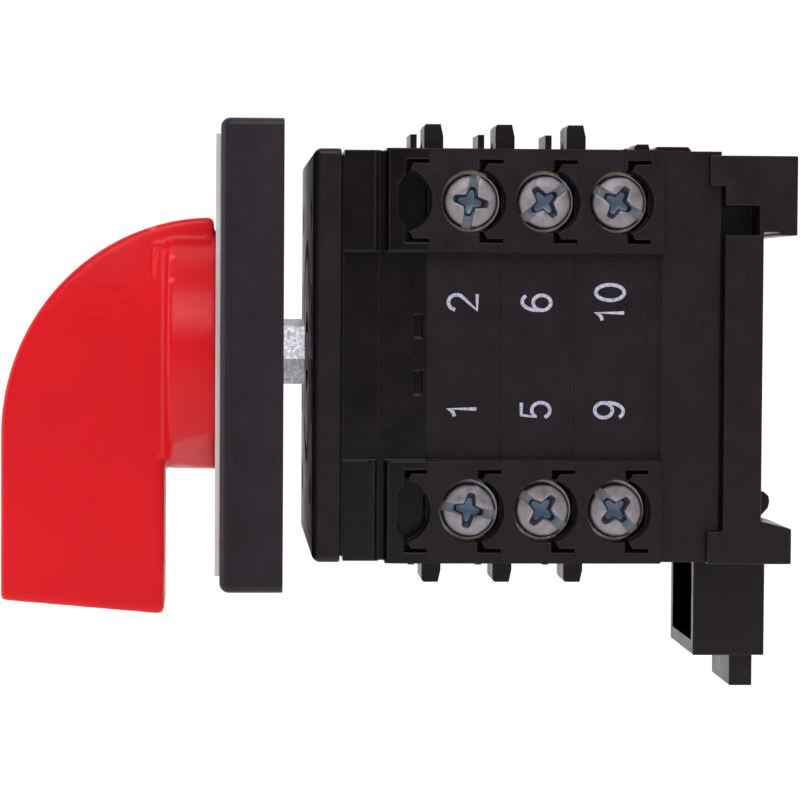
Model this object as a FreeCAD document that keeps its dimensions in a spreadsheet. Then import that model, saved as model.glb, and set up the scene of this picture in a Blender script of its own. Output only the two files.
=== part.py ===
import FreeCAD, Part
import math
import os
import Sketcher

# Rotary cam changeover switch, 1-0-2, with three contact decks and a rail foot.
#
# Frame: Y runs along the shaft, -Y towards the handle, +Z up, origin on the shaft axis at the
# panel face. Everything is in millimetres. The handle stands at 0, with its grip pointing down.

DRIVING = {
    # panel side
    "panel_gap": (3.74, "panel thickness between the escutcheon and the seal"),
    "plate_side": (60.0, "escutcheon side"),
    "plate_deep": (8.0, "escutcheon thickness"),
    "plate_wall": (2.4, "escutcheon wall"),
    "legend_side": (56.0, "legend plate side"),
    "legend_deep": (0.6, "legend plate thickness in front of the escutcheon"),
    "bolt_half": (18.0, "half the spacing of the panel bolts"),
    "bolt_radius": (2.25, "panel bolt hole radius"),
    # handle
    "hub_radius": (16.0, "handle hub radius"),
    "hub_deep": (6.8, "handle hub length"),
    "grip_half": (6.6, "half the grip's thickness"),
    "grip_front": (40.9, "front of the grip, in front of the panel face"),
    "grip_rear": (19.1, "rear of the grip, in front of the panel face"),
    "grip_arc": (29.2, "radius of the grip's round shoulder"),
    "grip_arc_low": (11.2, "drop of the shoulder's centre below the shaft axis"),
    "grip_end": (35.2, "drop of the grip's end below the shaft axis"),
    "grip_end_rise": (1.9, "how much shorter the grip's end is at its front"),
    # shaft
    "bar_half": (2.5, "half the shaft's width across flats"),
    "nut_flats": (8.0, "hexagon across flats"),
    "nut_turn": (18.5, "angle of the hexagon's flat above +X"),
    # stack
    "front_side": (52.8, "front plate side"),
    "front_deep": (3.6, "front plate thickness"),
    "seal_radius": (15.0, "outer radius of the panel seal ring"),
    "seal_deep": (1.2, "depth of the seal ring's groove"),
    "deck_side": (53.0, "deck side"),
    "waist_side": (48.2, "width across the recessed band between the terminal blocks"),
    "block_edge": (13.4, "inner edge of a terminal block"),
    "index_end": (14.7, "rear face of the index housing"),
    "pitch": (9.5, "deck pitch"),
    "cam_bore": (11.2, "bore for the cams"),
    "cam_radius": (9.0, "cam radius at rest"),
    "cam_rise": (1.146, "cam rise in mm for each radian"),
    "star_radius": (12.0, "star wheel radius"),
    "tie_x": (9.5, "tie bolt place across the stack"),
    "tie_z": (14.0, "tie bolt height"),
    "tie_radius": (1.5, "tie bolt radius"),
    # terminals
    "screw_line": (19.8, "terminal screw height from the axis"),
    "screw_inset": (5.5, "terminal screw place behind the deck's front face"),
    "well_radius": (4.1, "terminal well radius"),
    "head_radius": (3.5, "terminal screw head radius"),
    "head_face": (24.9, "place of a screw head's face"),
    "screw_radius": (1.7, "terminal screw thread radius"),
    "tongue_deep": (2.5, "deck tongue length"),
    "tongue_low": (15.0, "lower edge of a tongue"),
    "tongue_high": (24.6, "upper edge of a tongue"),
    "wire_low": (16.2, "inner wall of the wire space"),
    "wire_high": (21.4, "outer limit of the wire space"),
    "tab_top": (30.45, "top of the barrier tabs"),
    # rail foot
    "cap_end": (52.5, "rear face of the end cap"),
    "foot_rear": (57.85, "rail face of the foot"),
    "foot_top": (25.9, "top of the foot"),
    "foot_low": (26.6, "lower edge of the foot"),
    "hook_rear": (62.2, "rear face of the hook"),
    "hook_low": (15.7, "lower edge of the hook's lip"),
    "latch_half": (7.2, "half the latch slider's width"),
    "house_half": (10.0, "half the latch housing's width"),
    "slider_front": (57.1, "front face of the latch slider"),
    "slider_rear": (60.2, "rear face of the latch slider"),
    "house_low": (40.3, "lower face of the latch housing"),
    "tab_low": (44.75, "lower end of the release tab"),
}

FIT = 0.3
FULL_TURN = 2.0 * math.pi
FINE = 0.2

os.makedirs("parts", exist_ok=True)
doc = FreeCAD.newDocument("changeover_switch")
sheet = doc.addObject("Spreadsheet::Sheet", "Sizes")
for row, (alias, (number, note)) in enumerate(DRIVING.items(), start=1):
    sheet.set(f"A{row}", note)
    sheet.set(f"B{row}", str(number))
    sheet.setAlias(f"B{row}", alias)
doc.recompute()


class Size:
    """A length with its spreadsheet formula and its present value."""

    def __init__(self, text, value):
        self.text = text
        self.value = value

    def __add__(self, other):
        other = size(other)
        return Size(f"({self.text} + {other.text})", self.value + other.value)

    def __sub__(self, other):
        other = size(other)
        return Size(f"({self.text} - {other.text})", self.value - other.value)

    def __mul__(self, other):
        other = size(other)
        return Size(f"({self.text} * {other.text})", self.value * other.value)

    def __truediv__(self, other):
        other = size(other)
        return Size(f"({self.text} / {other.text})", self.value / other.value)

    def __neg__(self):
        return self * -1.0

    __radd__ = __add__
    __rmul__ = __mul__

    def __rsub__(self, other):
        return size(other) - self


def size(item):
    """A Size from a Size, a number or the alias of a sheet cell."""
    if isinstance(item, Size):
        return item
    if isinstance(item, str):
        return Size(f"Sizes.{item}", DRIVING[item][0])
    return Size(f"({float(item):.6f})", float(item))


def bind(feature, prop, item):
    """Bind a property of a feature to a sheet formula."""
    feature.setExpression(prop, size(item).text)


nodes = []
counter = {"made": 0}


def fresh(stem):
    """An internal name for a building step."""
    counter["made"] += 1
    return f"{stem}_{counter['made']}"


# ---------------------------------------------------------------- primitives and booleans

def block(x, y, z):
    """A box between the given low and high places along X, Y and Z."""
    box = doc.addObject("Part::Box", fresh("block"))
    for prop, axis, (low, high) in (("Length", "x", x), ("Width", "y", y), ("Height", "z", z)):
        bind(box, prop, size(high) - low)
        bind(box, f"Placement.Base.{axis}", low)
    return box


TURNS = {
    "x": FreeCAD.Rotation(FreeCAD.Vector(0, 1, 0), 90),
    "y": FreeCAD.Rotation(FreeCAD.Vector(1, 0, 0), -90),
    "z": FreeCAD.Rotation(),
}


def place(feature, direction, centre, low):
    """Stand a round primitive along x, y or z: centre gives the two other places in order."""
    feature.Placement = FreeCAD.Placement(FreeCAD.Vector(), TURNS[direction])
    across = [axis for axis in "xyz" if axis != direction]
    for axis, item in zip(across, centre):
        bind(feature, f"Placement.Base.{axis}", item)
    bind(feature, f"Placement.Base.{direction}", low)
    return feature


def rod(direction, centre, radius, span):
    """A cylinder along x, y or z over a span of places."""
    cylinder = doc.addObject("Part::Cylinder", fresh("rod"))
    bind(cylinder, "Radius", radius)
    bind(cylinder, "Height", size(span[1]) - span[0])
    return place(cylinder, direction, centre, span[0])


def prism(corners, direction, span):
    """A prism over a closed outline, along a direction and over a span of places."""
    solid = doc.addObject("Part::Extrusion", fresh("prism"))
    outline = doc.addObject("Part::Polygon", fresh("outline"))
    outline.Nodes = corners
    outline.Close = True
    solid.Base = outline
    solid.Dir = direction
    solid.Solid = True
    bind(solid, "LengthFwd", size(span[1]) - span[0])
    return solid


def wedge(points, x):
    """A prism along X over an outline in the YZ plane, for sloped moulded faces."""
    corners = [FreeCAD.Vector(size(x[0]).value, size(y).value, size(z).value) for y, z in points]
    return prism(corners, FreeCAD.Vector(1, 0, 0), x)


def fused(parts):
    """One solid from several that touch."""
    if len(parts) == 1:
        return parts[0]
    joined = doc.addObject("Part::MultiFuse", fresh("joined"))
    joined.Shapes = parts
    joined.Refine = True
    return joined


def without(base, tools):
    """A solid with several others cut away."""
    result = doc.addObject("Part::Cut", fresh("cut"))
    result.Base = base
    result.Tool = fused(tools)
    result.Refine = True
    return result


def keep(feature, label):
    """Name a finished sub-part as a node."""
    feature.Label = label
    nodes.append(feature)
    return feature


def group(parts, label):
    """Several separate solids of one kind as one node."""
    bundle = doc.addObject("Part::Compound", fresh("group"))
    bundle.Links = parts
    return keep(bundle, label)


# ---------------------------------------------------------------- sketched bodies

def new_body(label):
    """An empty PartDesign body that is a node."""
    return keep(doc.addObject("PartDesign::Body", label), label)


def sketch_on(body, role, offset):
    """A sketch on a plane of the body's own origin, moved along the plane's normal."""
    sketch = body.newObject("Sketcher::SketchObject", fresh("sketch"))
    plane = next(item for item in body.Origin.OriginFeatures if item.Role == role)
    sketch.AttachmentSupport = (plane, [""])
    sketch.MapMode = "FlatFace"
    bind(sketch, "AttachmentOffset.Base.z", offset)
    return sketch


def fix_point(sketch, edge, corner, point):
    """Bind a sketch point's two places to the sheet."""
    for kind, item in zip(("DistanceX", "DistanceY"), point):
        item = size(item)
        index = sketch.addConstraint(Sketcher.Constraint(kind, -1, 1, edge, corner, item.value))
        sketch.setExpression(f"Constraints[{index}]", item.text)


def fix_radius(sketch, edge, radius):
    """Bind a sketch circle's or arc's radius to the sheet."""
    index = sketch.addConstraint(Sketcher.Constraint("Radius", edge, size(radius).value))
    sketch.setExpression(f"Constraints[{index}]", size(radius).text)


def arc_middle(start, end, radius):
    """The middle point of the shorter anticlockwise arc from start to end."""
    chord = end - start
    half = chord.Length / 2.0
    side = FreeCAD.Vector(chord.y, -chord.x, 0).normalize()
    sagitta = radius - math.sqrt(max(radius * radius - half * half, 0.0))
    return (start + end) * 0.5 + side * sagitta


def closed_outline(sketch, points):
    """A closed outline. A point with a third entry starts an anticlockwise arc of that radius."""
    first = sketch.GeometryCount
    spots = [FreeCAD.Vector(size(p[0]).value, size(p[1]).value, 0) for p in points]
    total = len(points)
    for index, point in enumerate(points):
        start = spots[index]
        end = spots[(index + 1) % total]
        if len(point) == 3:
            middle = arc_middle(start, end, size(point[2]).value)
            sketch.addGeometry(Part.Arc(start, middle, end), False)
        else:
            sketch.addGeometry(Part.LineSegment(start, end), False)
    for index, point in enumerate(points):
        after = (index + 1) % total
        sketch.addConstraint(Sketcher.Constraint("Coincident", first + index, 2, first + after, 1))
        fix_point(sketch, first + index, 1, point[:2])
        if len(point) == 3:
            fix_radius(sketch, first + index, point[2])


def circle(sketch, centre, radius):
    """A circle in a sketch."""
    middle = FreeCAD.Vector(size(centre[0]).value, size(centre[1]).value, 0)
    normal = FreeCAD.Vector(0, 0, 1)
    edge = sketch.addGeometry(Part.Circle(middle, normal, size(radius).value), False)
    fix_radius(sketch, edge, radius)
    fix_point(sketch, edge, 3, centre)


def pad(body, sketch, length, reverse=False):
    """Extrude a sketch along its normal."""
    feature = body.newObject("PartDesign::Pad", fresh("pad"))
    feature.Profile = sketch
    bind(feature, "Length", length)
    feature.Reversed = reverse
    return feature


def pocket(body, sketch, length, along_normal=False):
    """Cut a sketch away, against its normal unless along_normal is set, and see that it cuts."""
    doc.recompute()
    before = body.Shape.Volume
    feature = body.newObject("PartDesign::Pocket", fresh("pocket"))
    feature.Profile = sketch
    bind(feature, "Length", length)
    feature.Reversed = along_normal
    doc.recompute()
    if body.Shape.Volume > before - 0.01:
        raise RuntimeError(f"{feature.Name} of {body.Label} cuts nothing")
    return feature


def soften(body, radius, wanted):
    """Fillet the edges of the body's last feature for which wanted(edge) is true."""
    doc.recompute()
    last = body.Tip
    names = [f"Edge{n}" for n, edge in enumerate(last.Shape.Edges, start=1) if wanted(edge)]
    feature = body.newObject("PartDesign::Fillet", fresh("fillet"))
    feature.Base = (last, names)
    bind(feature, "Radius", radius)
    return feature


def square(half):
    """The corners of a square about the axis."""
    half = size(half)
    return [(-half, -half), (half, -half), (half, half), (-half, half)]


def edge_box(edge):
    """The edge's bounding box."""
    return edge.BoundBox


def along(edge, axis):
    """True for a straight edge along x, y or z."""
    box = edge_box(edge)
    lengths = {"x": box.XLength, "y": box.YLength, "z": box.ZLength}
    others = [value for name, value in lengths.items() if name != axis]
    return lengths[axis] > 0.5 and max(others) < 0.01


# ---------------------------------------------------------------- places worked out once

plate_rear = -size("panel_gap")
plate_front = plate_rear - "plate_deep"
hub_rear = plate_front - FINE
insert_end = hub_rear - 14.0
front_rear = size("front_deep")
deck_half = size("deck_side") / 2.0
waist_half = size("waist_side") / 2.0
front_half = size("front_side") / 2.0
stack_end = size("index_end") + size("pitch") * 3.0
SIDES = (-1.0, 1.0)
CORNERS = [(x, z) for x in SIDES for z in SIDES]


def span(low, high, sign=1.0):
    """Low and high places, swapped over to the negative side where sign is negative."""
    if sign > 0:
        return (size(low), size(high))
    return (-size(high), -size(low))


# ---------------------------------------------------------------- handle

def make_knob():
    body = new_body("knob")
    front = -size("grip_front")
    rear = -size("grip_rear")
    shoulder = -size("grip_arc_low")
    top = size("grip_arc") - "grip_arc_low"
    blade = sketch_on(body, "YZ_Plane", -size("grip_half"))
    end_front = size("grip_end_rise") - "grip_end"
    crest = plate_front - "legend_deep" - FIT
    closed_outline(blade, [
        (crest, shoulder + 8.0), (crest, top, "grip_arc"), (front, shoulder),
        (front, end_front), (rear, -size("grip_end")), (rear, shoulder + 8.0),
    ])
    pad(body, blade, size("grip_half") * 2.0)
    doc.recompute()
    soften(body, 2.0, lambda edge: edge_box(edge).YMin < -12.5 and edge_box(edge).XLength < 0.01
           and edge_box(edge).YMin < DRIVING["grip_rear"][0] * -1.0 - 0.1)
    hub = sketch_on(body, "XZ_Plane", -hub_rear)
    circle(hub, (0, 0), "hub_radius")
    pad(body, hub, "hub_deep")
    doc.recompute()
    bore = sketch_on(body, "XZ_Plane", -hub_rear)
    closed_outline(bore, square(5.0))
    pocket(body, bore, 14.0, along_normal=True)
    well = sketch_on(body, "XZ_Plane", size("grip_front"))
    circle(well, (0, 0), 3.6)
    pocket(body, well, insert_end + "grip_front")


def make_knob_hardware():
    bush = new_body("knob_insert")
    outside = sketch_on(bush, "XZ_Plane", -hub_rear)
    closed_outline(outside, square(5.0))
    pad(bush, outside, 14.0)
    doc.recompute()
    inside = sketch_on(bush, "XZ_Plane", -hub_rear)
    closed_outline(inside, square("bar_half"))
    pocket(bush, inside, 12.0, along_normal=True)
    thread = sketch_on(bush, "XZ_Plane", -insert_end)
    circle(thread, (0, 0), 1.6)
    pocket(bush, thread, 3.0)
    head = rod("y", (0, 0), 3.0, (insert_end - 2.4, insert_end))
    stem = rod("y", (0, 0), 1.55, (insert_end, insert_end + 2.0))
    keep(fused([head, stem]), "knob_screw")
    keep(rod("y", (0, 0), 3.5, (-36.6, -34.6)), "knob_screw_cap")


def make_shaft():
    bar = new_body("shaft")
    section = sketch_on(bar, "XZ_Plane", -(hub_rear - 12.0))
    closed_outline(section, square("bar_half"))
    pad(bar, section, size("cap_end") - 3.0 - (hub_rear - 12.0), reverse=True)
    nut = new_body("shaft_nut")
    hexagon = sketch_on(nut, "XZ_Plane", -(plate_rear + 0.05))
    radius = DRIVING["nut_flats"][0] / math.sqrt(3.0)
    start = math.radians(DRIVING["nut_turn"][0] + 30.0)
    corners = []
    for step in range(6):
        angle = start + step * FULL_TURN / 6.0
        across = size("nut_flats") * (math.cos(angle) * radius / DRIVING["nut_flats"][0])
        upward = size("nut_flats") * (math.sin(angle) * radius / DRIVING["nut_flats"][0])
        corners.append((across, upward))
    closed_outline(hexagon, corners)
    pad(nut, hexagon, size("panel_gap") - 0.45, reverse=True)
    doc.recompute()
    hole = sketch_on(nut, "XZ_Plane", 0.4)
    closed_outline(hole, square("bar_half"))
    pocket(nut, hole, 6.0, along_normal=True)


# ---------------------------------------------------------------- panel side

def four_bolts(sketch):
    """The panel bolt holes."""
    for x, z in CORNERS:
        circle(sketch, (size("bolt_half") * x, size("bolt_half") * z), "bolt_radius")


def make_escutcheon():
    plate = new_body("escutcheon_plate")
    outside = sketch_on(plate, "XZ_Plane", "panel_gap")
    closed_outline(outside, square(size("plate_side") / 2.0))
    pad(plate, outside, "plate_deep")
    front = plate_front.value
    soften(plate, 1.0, lambda edge: along(edge, "y"))
    soften(plate, 1.2, lambda edge: abs(edge_box(edge).YMax - front) < 0.01)
    doc.recompute()
    hollow = sketch_on(plate, "XZ_Plane", "panel_gap")
    closed_outline(hollow, square(size("plate_side") / 2.0 - "plate_wall"))
    circle(hollow, (0, 0), 9.0)
    for x, z in CORNERS:
        circle(hollow, (size("bolt_half") * x, size("bolt_half") * z), 4.5)
    pocket(plate, hollow, size("plate_deep") - "plate_wall", along_normal=True)
    bores = sketch_on(plate, "XZ_Plane", "panel_gap")
    circle(bores, (0, 0), 5.4)
    four_bolts(bores)
    pocket(plate, bores, 9.0, along_normal=True)

    legend = new_body("legend_plate")
    face = sketch_on(legend, "XZ_Plane", -plate_front)
    closed_outline(face, square(size("legend_side") / 2.0))
    pad(legend, face, "legend_deep")
    doc.recompute()
    centre = sketch_on(legend, "XZ_Plane", -plate_front)
    circle(centre, (0, 0), size("hub_radius") + FIT)
    four_bolts(centre)
    pocket(legend, centre, 2.0, along_normal=True)


def make_front():
    """Front plate with a ring groove that holds the panel seal."""
    plate = new_body("front_plate")
    outside = sketch_on(plate, "XZ_Plane", 0)
    closed_outline(outside, square(front_half))
    pad(plate, outside, "front_deep", reverse=True)
    soften(plate, 0.8, lambda edge: along(edge, "y"))
    soften(plate, 1.1, lambda edge: edge_box(edge).YMax < 0.01)
    soften(plate, 0.3, lambda edge: edge_box(edge).YMin > DRIVING["front_deep"][0] - 0.01)
    doc.recompute()
    groove = sketch_on(plate, "XZ_Plane", 0)
    circle(groove, (0, 0), size("seal_radius") + 0.05)
    circle(groove, (0, 0), size("seal_radius") - 2.05)
    pocket(plate, groove, "seal_deep")
    holes = sketch_on(plate, "XZ_Plane", 0)
    circle(holes, (0, 0), 5.4)
    four_bolts(holes)
    pocket(plate, holes, 4.0)
    reliefs = sketch_on(plate, "XZ_Plane", 0)
    for x in SIDES:
        low, high = span(19.5, 23.0, x)
        closed_outline(reliefs, [(low, -9.0), (high, -9.0), (high, 9.0), (low, 9.0)])
    pocket(plate, reliefs, 1.0)
    seal = new_body("panel_seal")
    ring = sketch_on(seal, "XZ_Plane", 0)
    circle(ring, (0, 0), "seal_radius")
    circle(ring, (0, 0), size("seal_radius") - 2.0)
    pad(seal, ring, "seal_deep", reverse=True)


def tie_holes(low, high, radius=0.1):
    """Clearance holes for the tie bolts."""
    return [rod("y", (size("tie_x") * x, size("tie_z") * z), size("tie_radius") + radius, (low, high))
            for x, z in CORNERS]


def notches(end):
    """The cuts in a part's rear edge that take the next deck's tongues, with a gap all round."""
    gap = 0.5
    cuts = []
    for x, z in CORNERS:
        low = (size("tongue_low") - gap) * z
        high = (size("tongue_high") + gap) * z
        front = end - "tongue_deep" - gap
        outline = [(end + 0.2, low), (front, low), (front, low + size(2.0) * z),
                   (front - 0.9, low + size(3.2) * z), (front - 0.9, high - size(3.2) * z),
                   (front, high - size(2.0) * z), (front, high), (end + 0.2, high)]
        cuts.append(wedge(outline, span(21.5, deck_half + 1.0, x)))
    return cuts


def make_index():
    """Index housing: a square shell, its four lug blocks and the flared ribs beside them."""
    start = front_rear
    end = size("index_end")
    side = deck_half - 1.0
    shell = [
        block((-side, side), (start, start + 0.4), (-(deck_half - 0.9), deck_half - 0.9)),
        block((-side, side), (start + 0.4, 8.5), (-(deck_half - 0.25), deck_half - 0.25)),
        block((-waist_half, waist_half), (8.5, end), (-(deck_half - 0.25), deck_half - 0.25)),
        block((-21.0, 21.0), (9.35, end), (-deck_half, deck_half)),
    ]
    cuts = []
    for x, z in CORNERS:
        face = (deck_half * x, "block_edge")
        lug = block(span(18.0, deck_half - 0.9, x), (9.35, end), span("block_edge", deck_half, z))
        skin = block(span(deck_half - 1.0, deck_half, x), (10.25, end), span("block_edge", deck_half, z))
        nose = rod("z", (face[0] - size(0.9) * x, 10.25), 0.9, span("block_edge", deck_half, z))
        shell += [lug, skin, nose]
        shell.append(flare(x, span("block_edge", deck_half - 0.35, z)))
        cuts.append(rod("y", (size("bolt_half") * x, size("bolt_half") * z), "bolt_radius",
                        (start - 0.1, 9.0)))
    cuts += notches(end)
    for x in SIDES:
        cuts.append(block(span(waist_half + 0.2, deck_half, x), (start + 0.4, 8.7), (-13.4, 13.4)))
        cuts.append(block(span(waist_half - 1.2, deck_half, x), (13.0, 14.2), (2.3, 5.3)))
        cuts.append(block(span(waist_half - 1.2, deck_half, x), (13.0, 14.2), (-5.0, -1.9)))
    cuts.append(rod("y", (0, 0), 4.4, (start - 0.1, end + 0.1)))
    cuts.append(rod("y", (0, 0), 13.0, (5.0, 13.2)))
    cuts.append(block((-2.7, 2.7), (5.4, 12.4), (-24.5, 24.5)))
    cuts.append(rod("y", (0, 0), 6.5, (13.0, end + 0.1)))
    cuts += tie_holes(start + 1.0, end + 0.1)
    keep(without(fused(shell), cuts), "index_housing")


def flare(x, z):
    """A rib whose face flares outwards to the rear, along the index housing's side."""
    low = deck_half - 1.1
    high = low + 1.05
    points = [(6.6, low), (7.4, low + 0.25), (8.0, low + 0.6), (8.4, high), (8.5, high), (8.5, low)]
    corners = [FreeCAD.Vector(size(across).value * x, y, size(z[0]).value) for y, across in points]
    return prism(corners, FreeCAD.Vector(0, 0, 1), z)


def make_detent():
    """Star wheel with its rollers, parked clear of the notches, and their springs."""
    wheel = rod("y", (0, 0), "star_radius", (5.4, 12.6))
    dips = [block((-size("bar_half"), "bar_half"), (5.0, 13.0), (-size("bar_half"), "bar_half"))]
    reach = size("star_radius") + 1.4
    for step in range(12):
        angle = step * FULL_TURN / 12.0
        dips.append(rod("y", (reach * math.cos(angle), reach * math.sin(angle)), 2.3, (5.0, 13.0)))
    keep(without(wheel, dips), "star_wheel")
    rollers = [rod("y", (0, size(14.4) * z), 2.0, (5.6, 12.2)) for z in SIDES]
    group(rollers, "detent_rollers")
    springs = []
    for z in SIDES:
        outer = rod("z", (0, 8.9), 2.4, span(16.6, 24.4, z))
        springs.append(without(outer, [rod("z", (0, 8.9), 1.8, span(16.0, 25.0, z))]))
    group(springs, "detent_springs")


# ---------------------------------------------------------------- contact decks

def tongues(start):
    """The four tongues on a part's front face, each hollowed as the rear of the screw well before it."""
    shapes = []
    well = start - "pitch" + "screw_inset" + 0.2
    for x, z in CORNERS:
        front = start - "tongue_deep"
        low = size("tongue_low") * z
        high = size("tongue_high") * z
        outline = [(start + 0.5, low), (front + 0.5, low), (front, low + size(0.9) * z),
                   (front, high - size(0.9) * z), (front + 0.5, high), (start + 0.5, high)]
        tongue = wedge(outline, span(21.6, deck_half, x))
        hollow = rod("x", (well, size("screw_line") * z), "well_radius", span(21.0, deck_half + 1.0, x))
        shapes.append(without(tongue, [hollow]))
    return shapes


def barrier_tabs(start):
    """The barrier tabs above and below a deck: a thick one with a gusset and a thin one."""
    shapes = []
    low = deck_half - 1.0
    high = size("tab_top")
    for z in SIDES:
        thick = [(start + 0.45, low * z), (start + 0.45, (high - 0.4) * z), (start + 0.7, high * z),
                 (start + 2.65, high * z), (start + 3.0, (high - 1.6) * z), (start + 3.0, low * z)]
        gusset = [(start + 0.5, (high - 1.8) * z), (start + 0.5, low * z), (start + 0.05, low * z),
                  (start + 0.05, (low + 1.2) * z)]
        thin = [(start + 0.05, low * z), (start + 0.05, (high - 0.2) * z), (start + 0.95, (high - 0.2) * z),
                (start + 0.95, low * z)]
        shapes += [wedge(thick, (2.0, 10.0)), wedge(gusset, (4.0, 5.0)), wedge(thin, (-22.0, -13.0))]
    return shapes


def well_bites(start):
    """The bites that the screw wells of the part before take out of a part's front edge."""
    well = start - "pitch" + "screw_inset" + 0.2
    return [rod("x", (well, size("screw_line") * z), size("well_radius") + 0.15, span(23.4, deck_half + 1.0, x))
            for x, z in CORNERS]


def make_deck(number):
    start = size("index_end") + size("pitch") * (number - 1.0)
    end = start + "pitch"
    screw = start + "screw_inset"
    shell = [block((-deck_half, deck_half), (start, end), (-deck_half, deck_half))]
    shell += tongues(start) + barrier_tabs(start)
    cuts = [rod("y", (0, 0), "cam_bore", (start - 0.1, end + 0.1))]
    cuts += tie_holes(start - 0.1, end + 0.1)
    edge = size("block_edge")
    for x in SIDES:
        cuts.append(block(span(waist_half, deck_half + 1.0, x), (start - 0.1, end + 0.1), (-edge, edge)))
        cuts.append(block(span(12.4, 22.4, x), (start + 1.5, end + 0.1), (-11.6, 11.6)))
        cuts.append(block(span(8.0, 12.5, x), (start + 1.5, end + 0.1), (-3.1, 3.1)))
    for x, z in CORNERS:
        cuts.append(block(span(15.1, 16.3, x), (screw - 2.9, screw + 2.9), span(11.0, 24.5, z)))
        cuts.append(block(span("wire_low", "wire_high", x), (start + 2.2, start + 8.8),
                          span(15.4, deck_half + 1.0, z)))
        cuts.append(rod("x", (screw + 0.2, size("screw_line") * z), "well_radius",
                        span(size("wire_high") - 0.1, deck_half + 1.0, x)))
        cuts.append(rod("x", (screw, size("screw_line") * z), 1.9, span(11.0, 15.2, x)))
    cuts += notches(end) + well_bites(start)
    keep(without(fused(shell), cuts), f"deck_{number}_housing")

    screws = []
    washers = []
    strips = []
    for x, z in CORNERS:
        line = (screw, size("screw_line") * z)
        head = rod("x", line, "head_radius", span(size("head_face") - 2.4, "head_face", x))
        stem = rod("x", line, "screw_radius", span(11.4, size("head_face") - 2.3, x))
        slot = block(span(size("head_face") - 1.1, size("head_face") + 0.1, x),
                     (screw - 0.45, screw + 0.45), (line[1] - 4.0, line[1] + 4.0))
        screws.append(without(fused([head, stem]), [slot]))
        washer = rod("x", line, size("well_radius") - 0.25, span(21.5, size("head_face") - 2.4, x))
        washers.append(without(washer, [rod("x", line, size("screw_radius") + 0.15, span(21.0, 24.0, x))]))
        bar = block(span(15.15, 16.15, x), (screw - 2.8, screw + 2.8), span(6.4, 24.4, z))
        tip = rod("x", (screw, size(8.2) * z), 1.5, span(16.1, 16.9, x))
        hole = rod("x", line, size("screw_radius") + 0.02, span(15.0, 16.4, x))
        strips.append(without(fused([bar, tip]), [hole]))
    group(screws, f"deck_{number}_terminal_screws")
    group(washers, f"deck_{number}_clamp_washers")
    group(strips, f"deck_{number}_terminal_strips")
    make_contacts(number, start)
    make_cam(number, start)


def make_contacts(number, start):
    """A plunger, a bridge and a spring on each side. The near side is +X, the far side -X."""
    middle = start + "screw_inset"
    springs = []
    tip = size("cam_radius") + FIT
    for name, x in (("near", 1.0), ("far", -1.0)):
        stem = block(span(tip, 18.6, x), (middle - 2.2, middle + 2.2), (-2.7, 2.7))
        keep(stem, f"deck_{number}_plunger_{name}")
        bar = block(span(18.6, 19.4, x), (middle - 2.0, middle + 2.0), (-10.2, 10.2))
        ends = [rod("x", (middle, size(8.2) * z), 1.5, span(18.1, 18.7, x)) for z in SIDES]
        keep(fused([bar] + ends), f"deck_{number}_bridge_{name}")
        coil = rod("x", (middle, 0), 2.4, span(19.4, 22.4, x))
        springs.append(without(coil, [rod("x", (middle, 0), 1.9, span(19.0, 23.0, x))]))
    group(springs, f"deck_{number}_contact_springs")


def cam_section(radius, rise, turns=48):
    """The cam's outline: its radius rises evenly from straight down to straight up on both sides."""
    points = []
    for step in range(turns):
        angle = -math.pi / 2.0 + step * FULL_TURN / turns
        height = math.asin(max(-1.0, min(1.0, math.sin(angle))))
        reach = radius + rise * height
        points.append(FreeCAD.Vector(reach * math.cos(angle), 0.0, reach * math.sin(angle)))
    half = turns // 2
    sides = []
    for run in (points[:half + 1], points[half:] + points[:1]):
        curve = Part.BSplineCurve()
        curve.interpolate(run)
        sides.append(curve.toShape())
    return Part.Face(Part.Wire(sides))


def make_cam(number, start):
    """Cam lobe with its hub, on the square shaft."""
    lobe = doc.addObject("Part::Feature", fresh("lobe"))
    section = cam_section(sheet.cam_radius, sheet.cam_rise)
    lobe.Shape = section.extrude(FreeCAD.Vector(0, 5.0, 0))
    bind(lobe, "Placement.Base.y", start + 3.0)
    hub = rod("y", (0, 0), 5.6, (start + 0.1, start + "pitch"))
    hole = block((-size("bar_half"), "bar_half"), (start - 1.0, start + "pitch" + 1.0),
                 (-size("bar_half"), "bar_half"))
    keep(without(fused([lobe, hub]), [hole]), f"deck_{number}_cam")


# ---------------------------------------------------------------- rear

def make_end_cap():
    start = stack_end
    end = size("cap_end")
    side = deck_half - 1.7
    shell = [block((-deck_half, deck_half), (start, start + 1.6), (-deck_half, deck_half)),
             block((-side, side), (start + 1.6, end), (-(deck_half - 0.05), deck_half - 0.05))]
    shell += tongues(start)
    for x, z in CORNERS:
        low = deck_half - 1.2
        outline = [(start, low * z), (start, size(27.6) * z), (start + 0.4, size(28.0) * z),
                   (start + 1.9, size(28.0) * z), (start + 2.6, low * z)]
        shell.append(wedge(outline, span(2.0, 10.0, x)))
        if z > 0:
            rib = [(45.6, low), (45.6, 27.2), (46.0, 27.6), (50.1, 27.6), (50.5, 27.2), (50.5, low)]
            shell.append(wedge(rib, span(2.0, 12.0, x)))
    cuts = [rod("y", (0, 0), 4.0, (start - 3.0, end - 2.0)),
            rod("y", (0, 0), "cam_bore", (start - 3.0, start + 2.0))]
    cuts += [block(span(waist_half, deck_half + 1.0, x), (start - 0.1, start + 1.7), (-13.4, 13.4))
             for x in SIDES]
    cuts += tie_holes(start - 3.0, end + 0.1) + well_bites(start)
    for x, z in CORNERS:
        cuts.append(rod("y", (size("tie_x") * x, size("tie_z") * z), 3.1, (end - 2.2, end + 0.1)))
    for x in SIDES:
        cuts.append(rod("y", (size(18.5) * x, 8.0), 1.6, (end - 6.0, end + 0.1)))
    keep(without(fused(shell), cuts), "end_cap")


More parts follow.
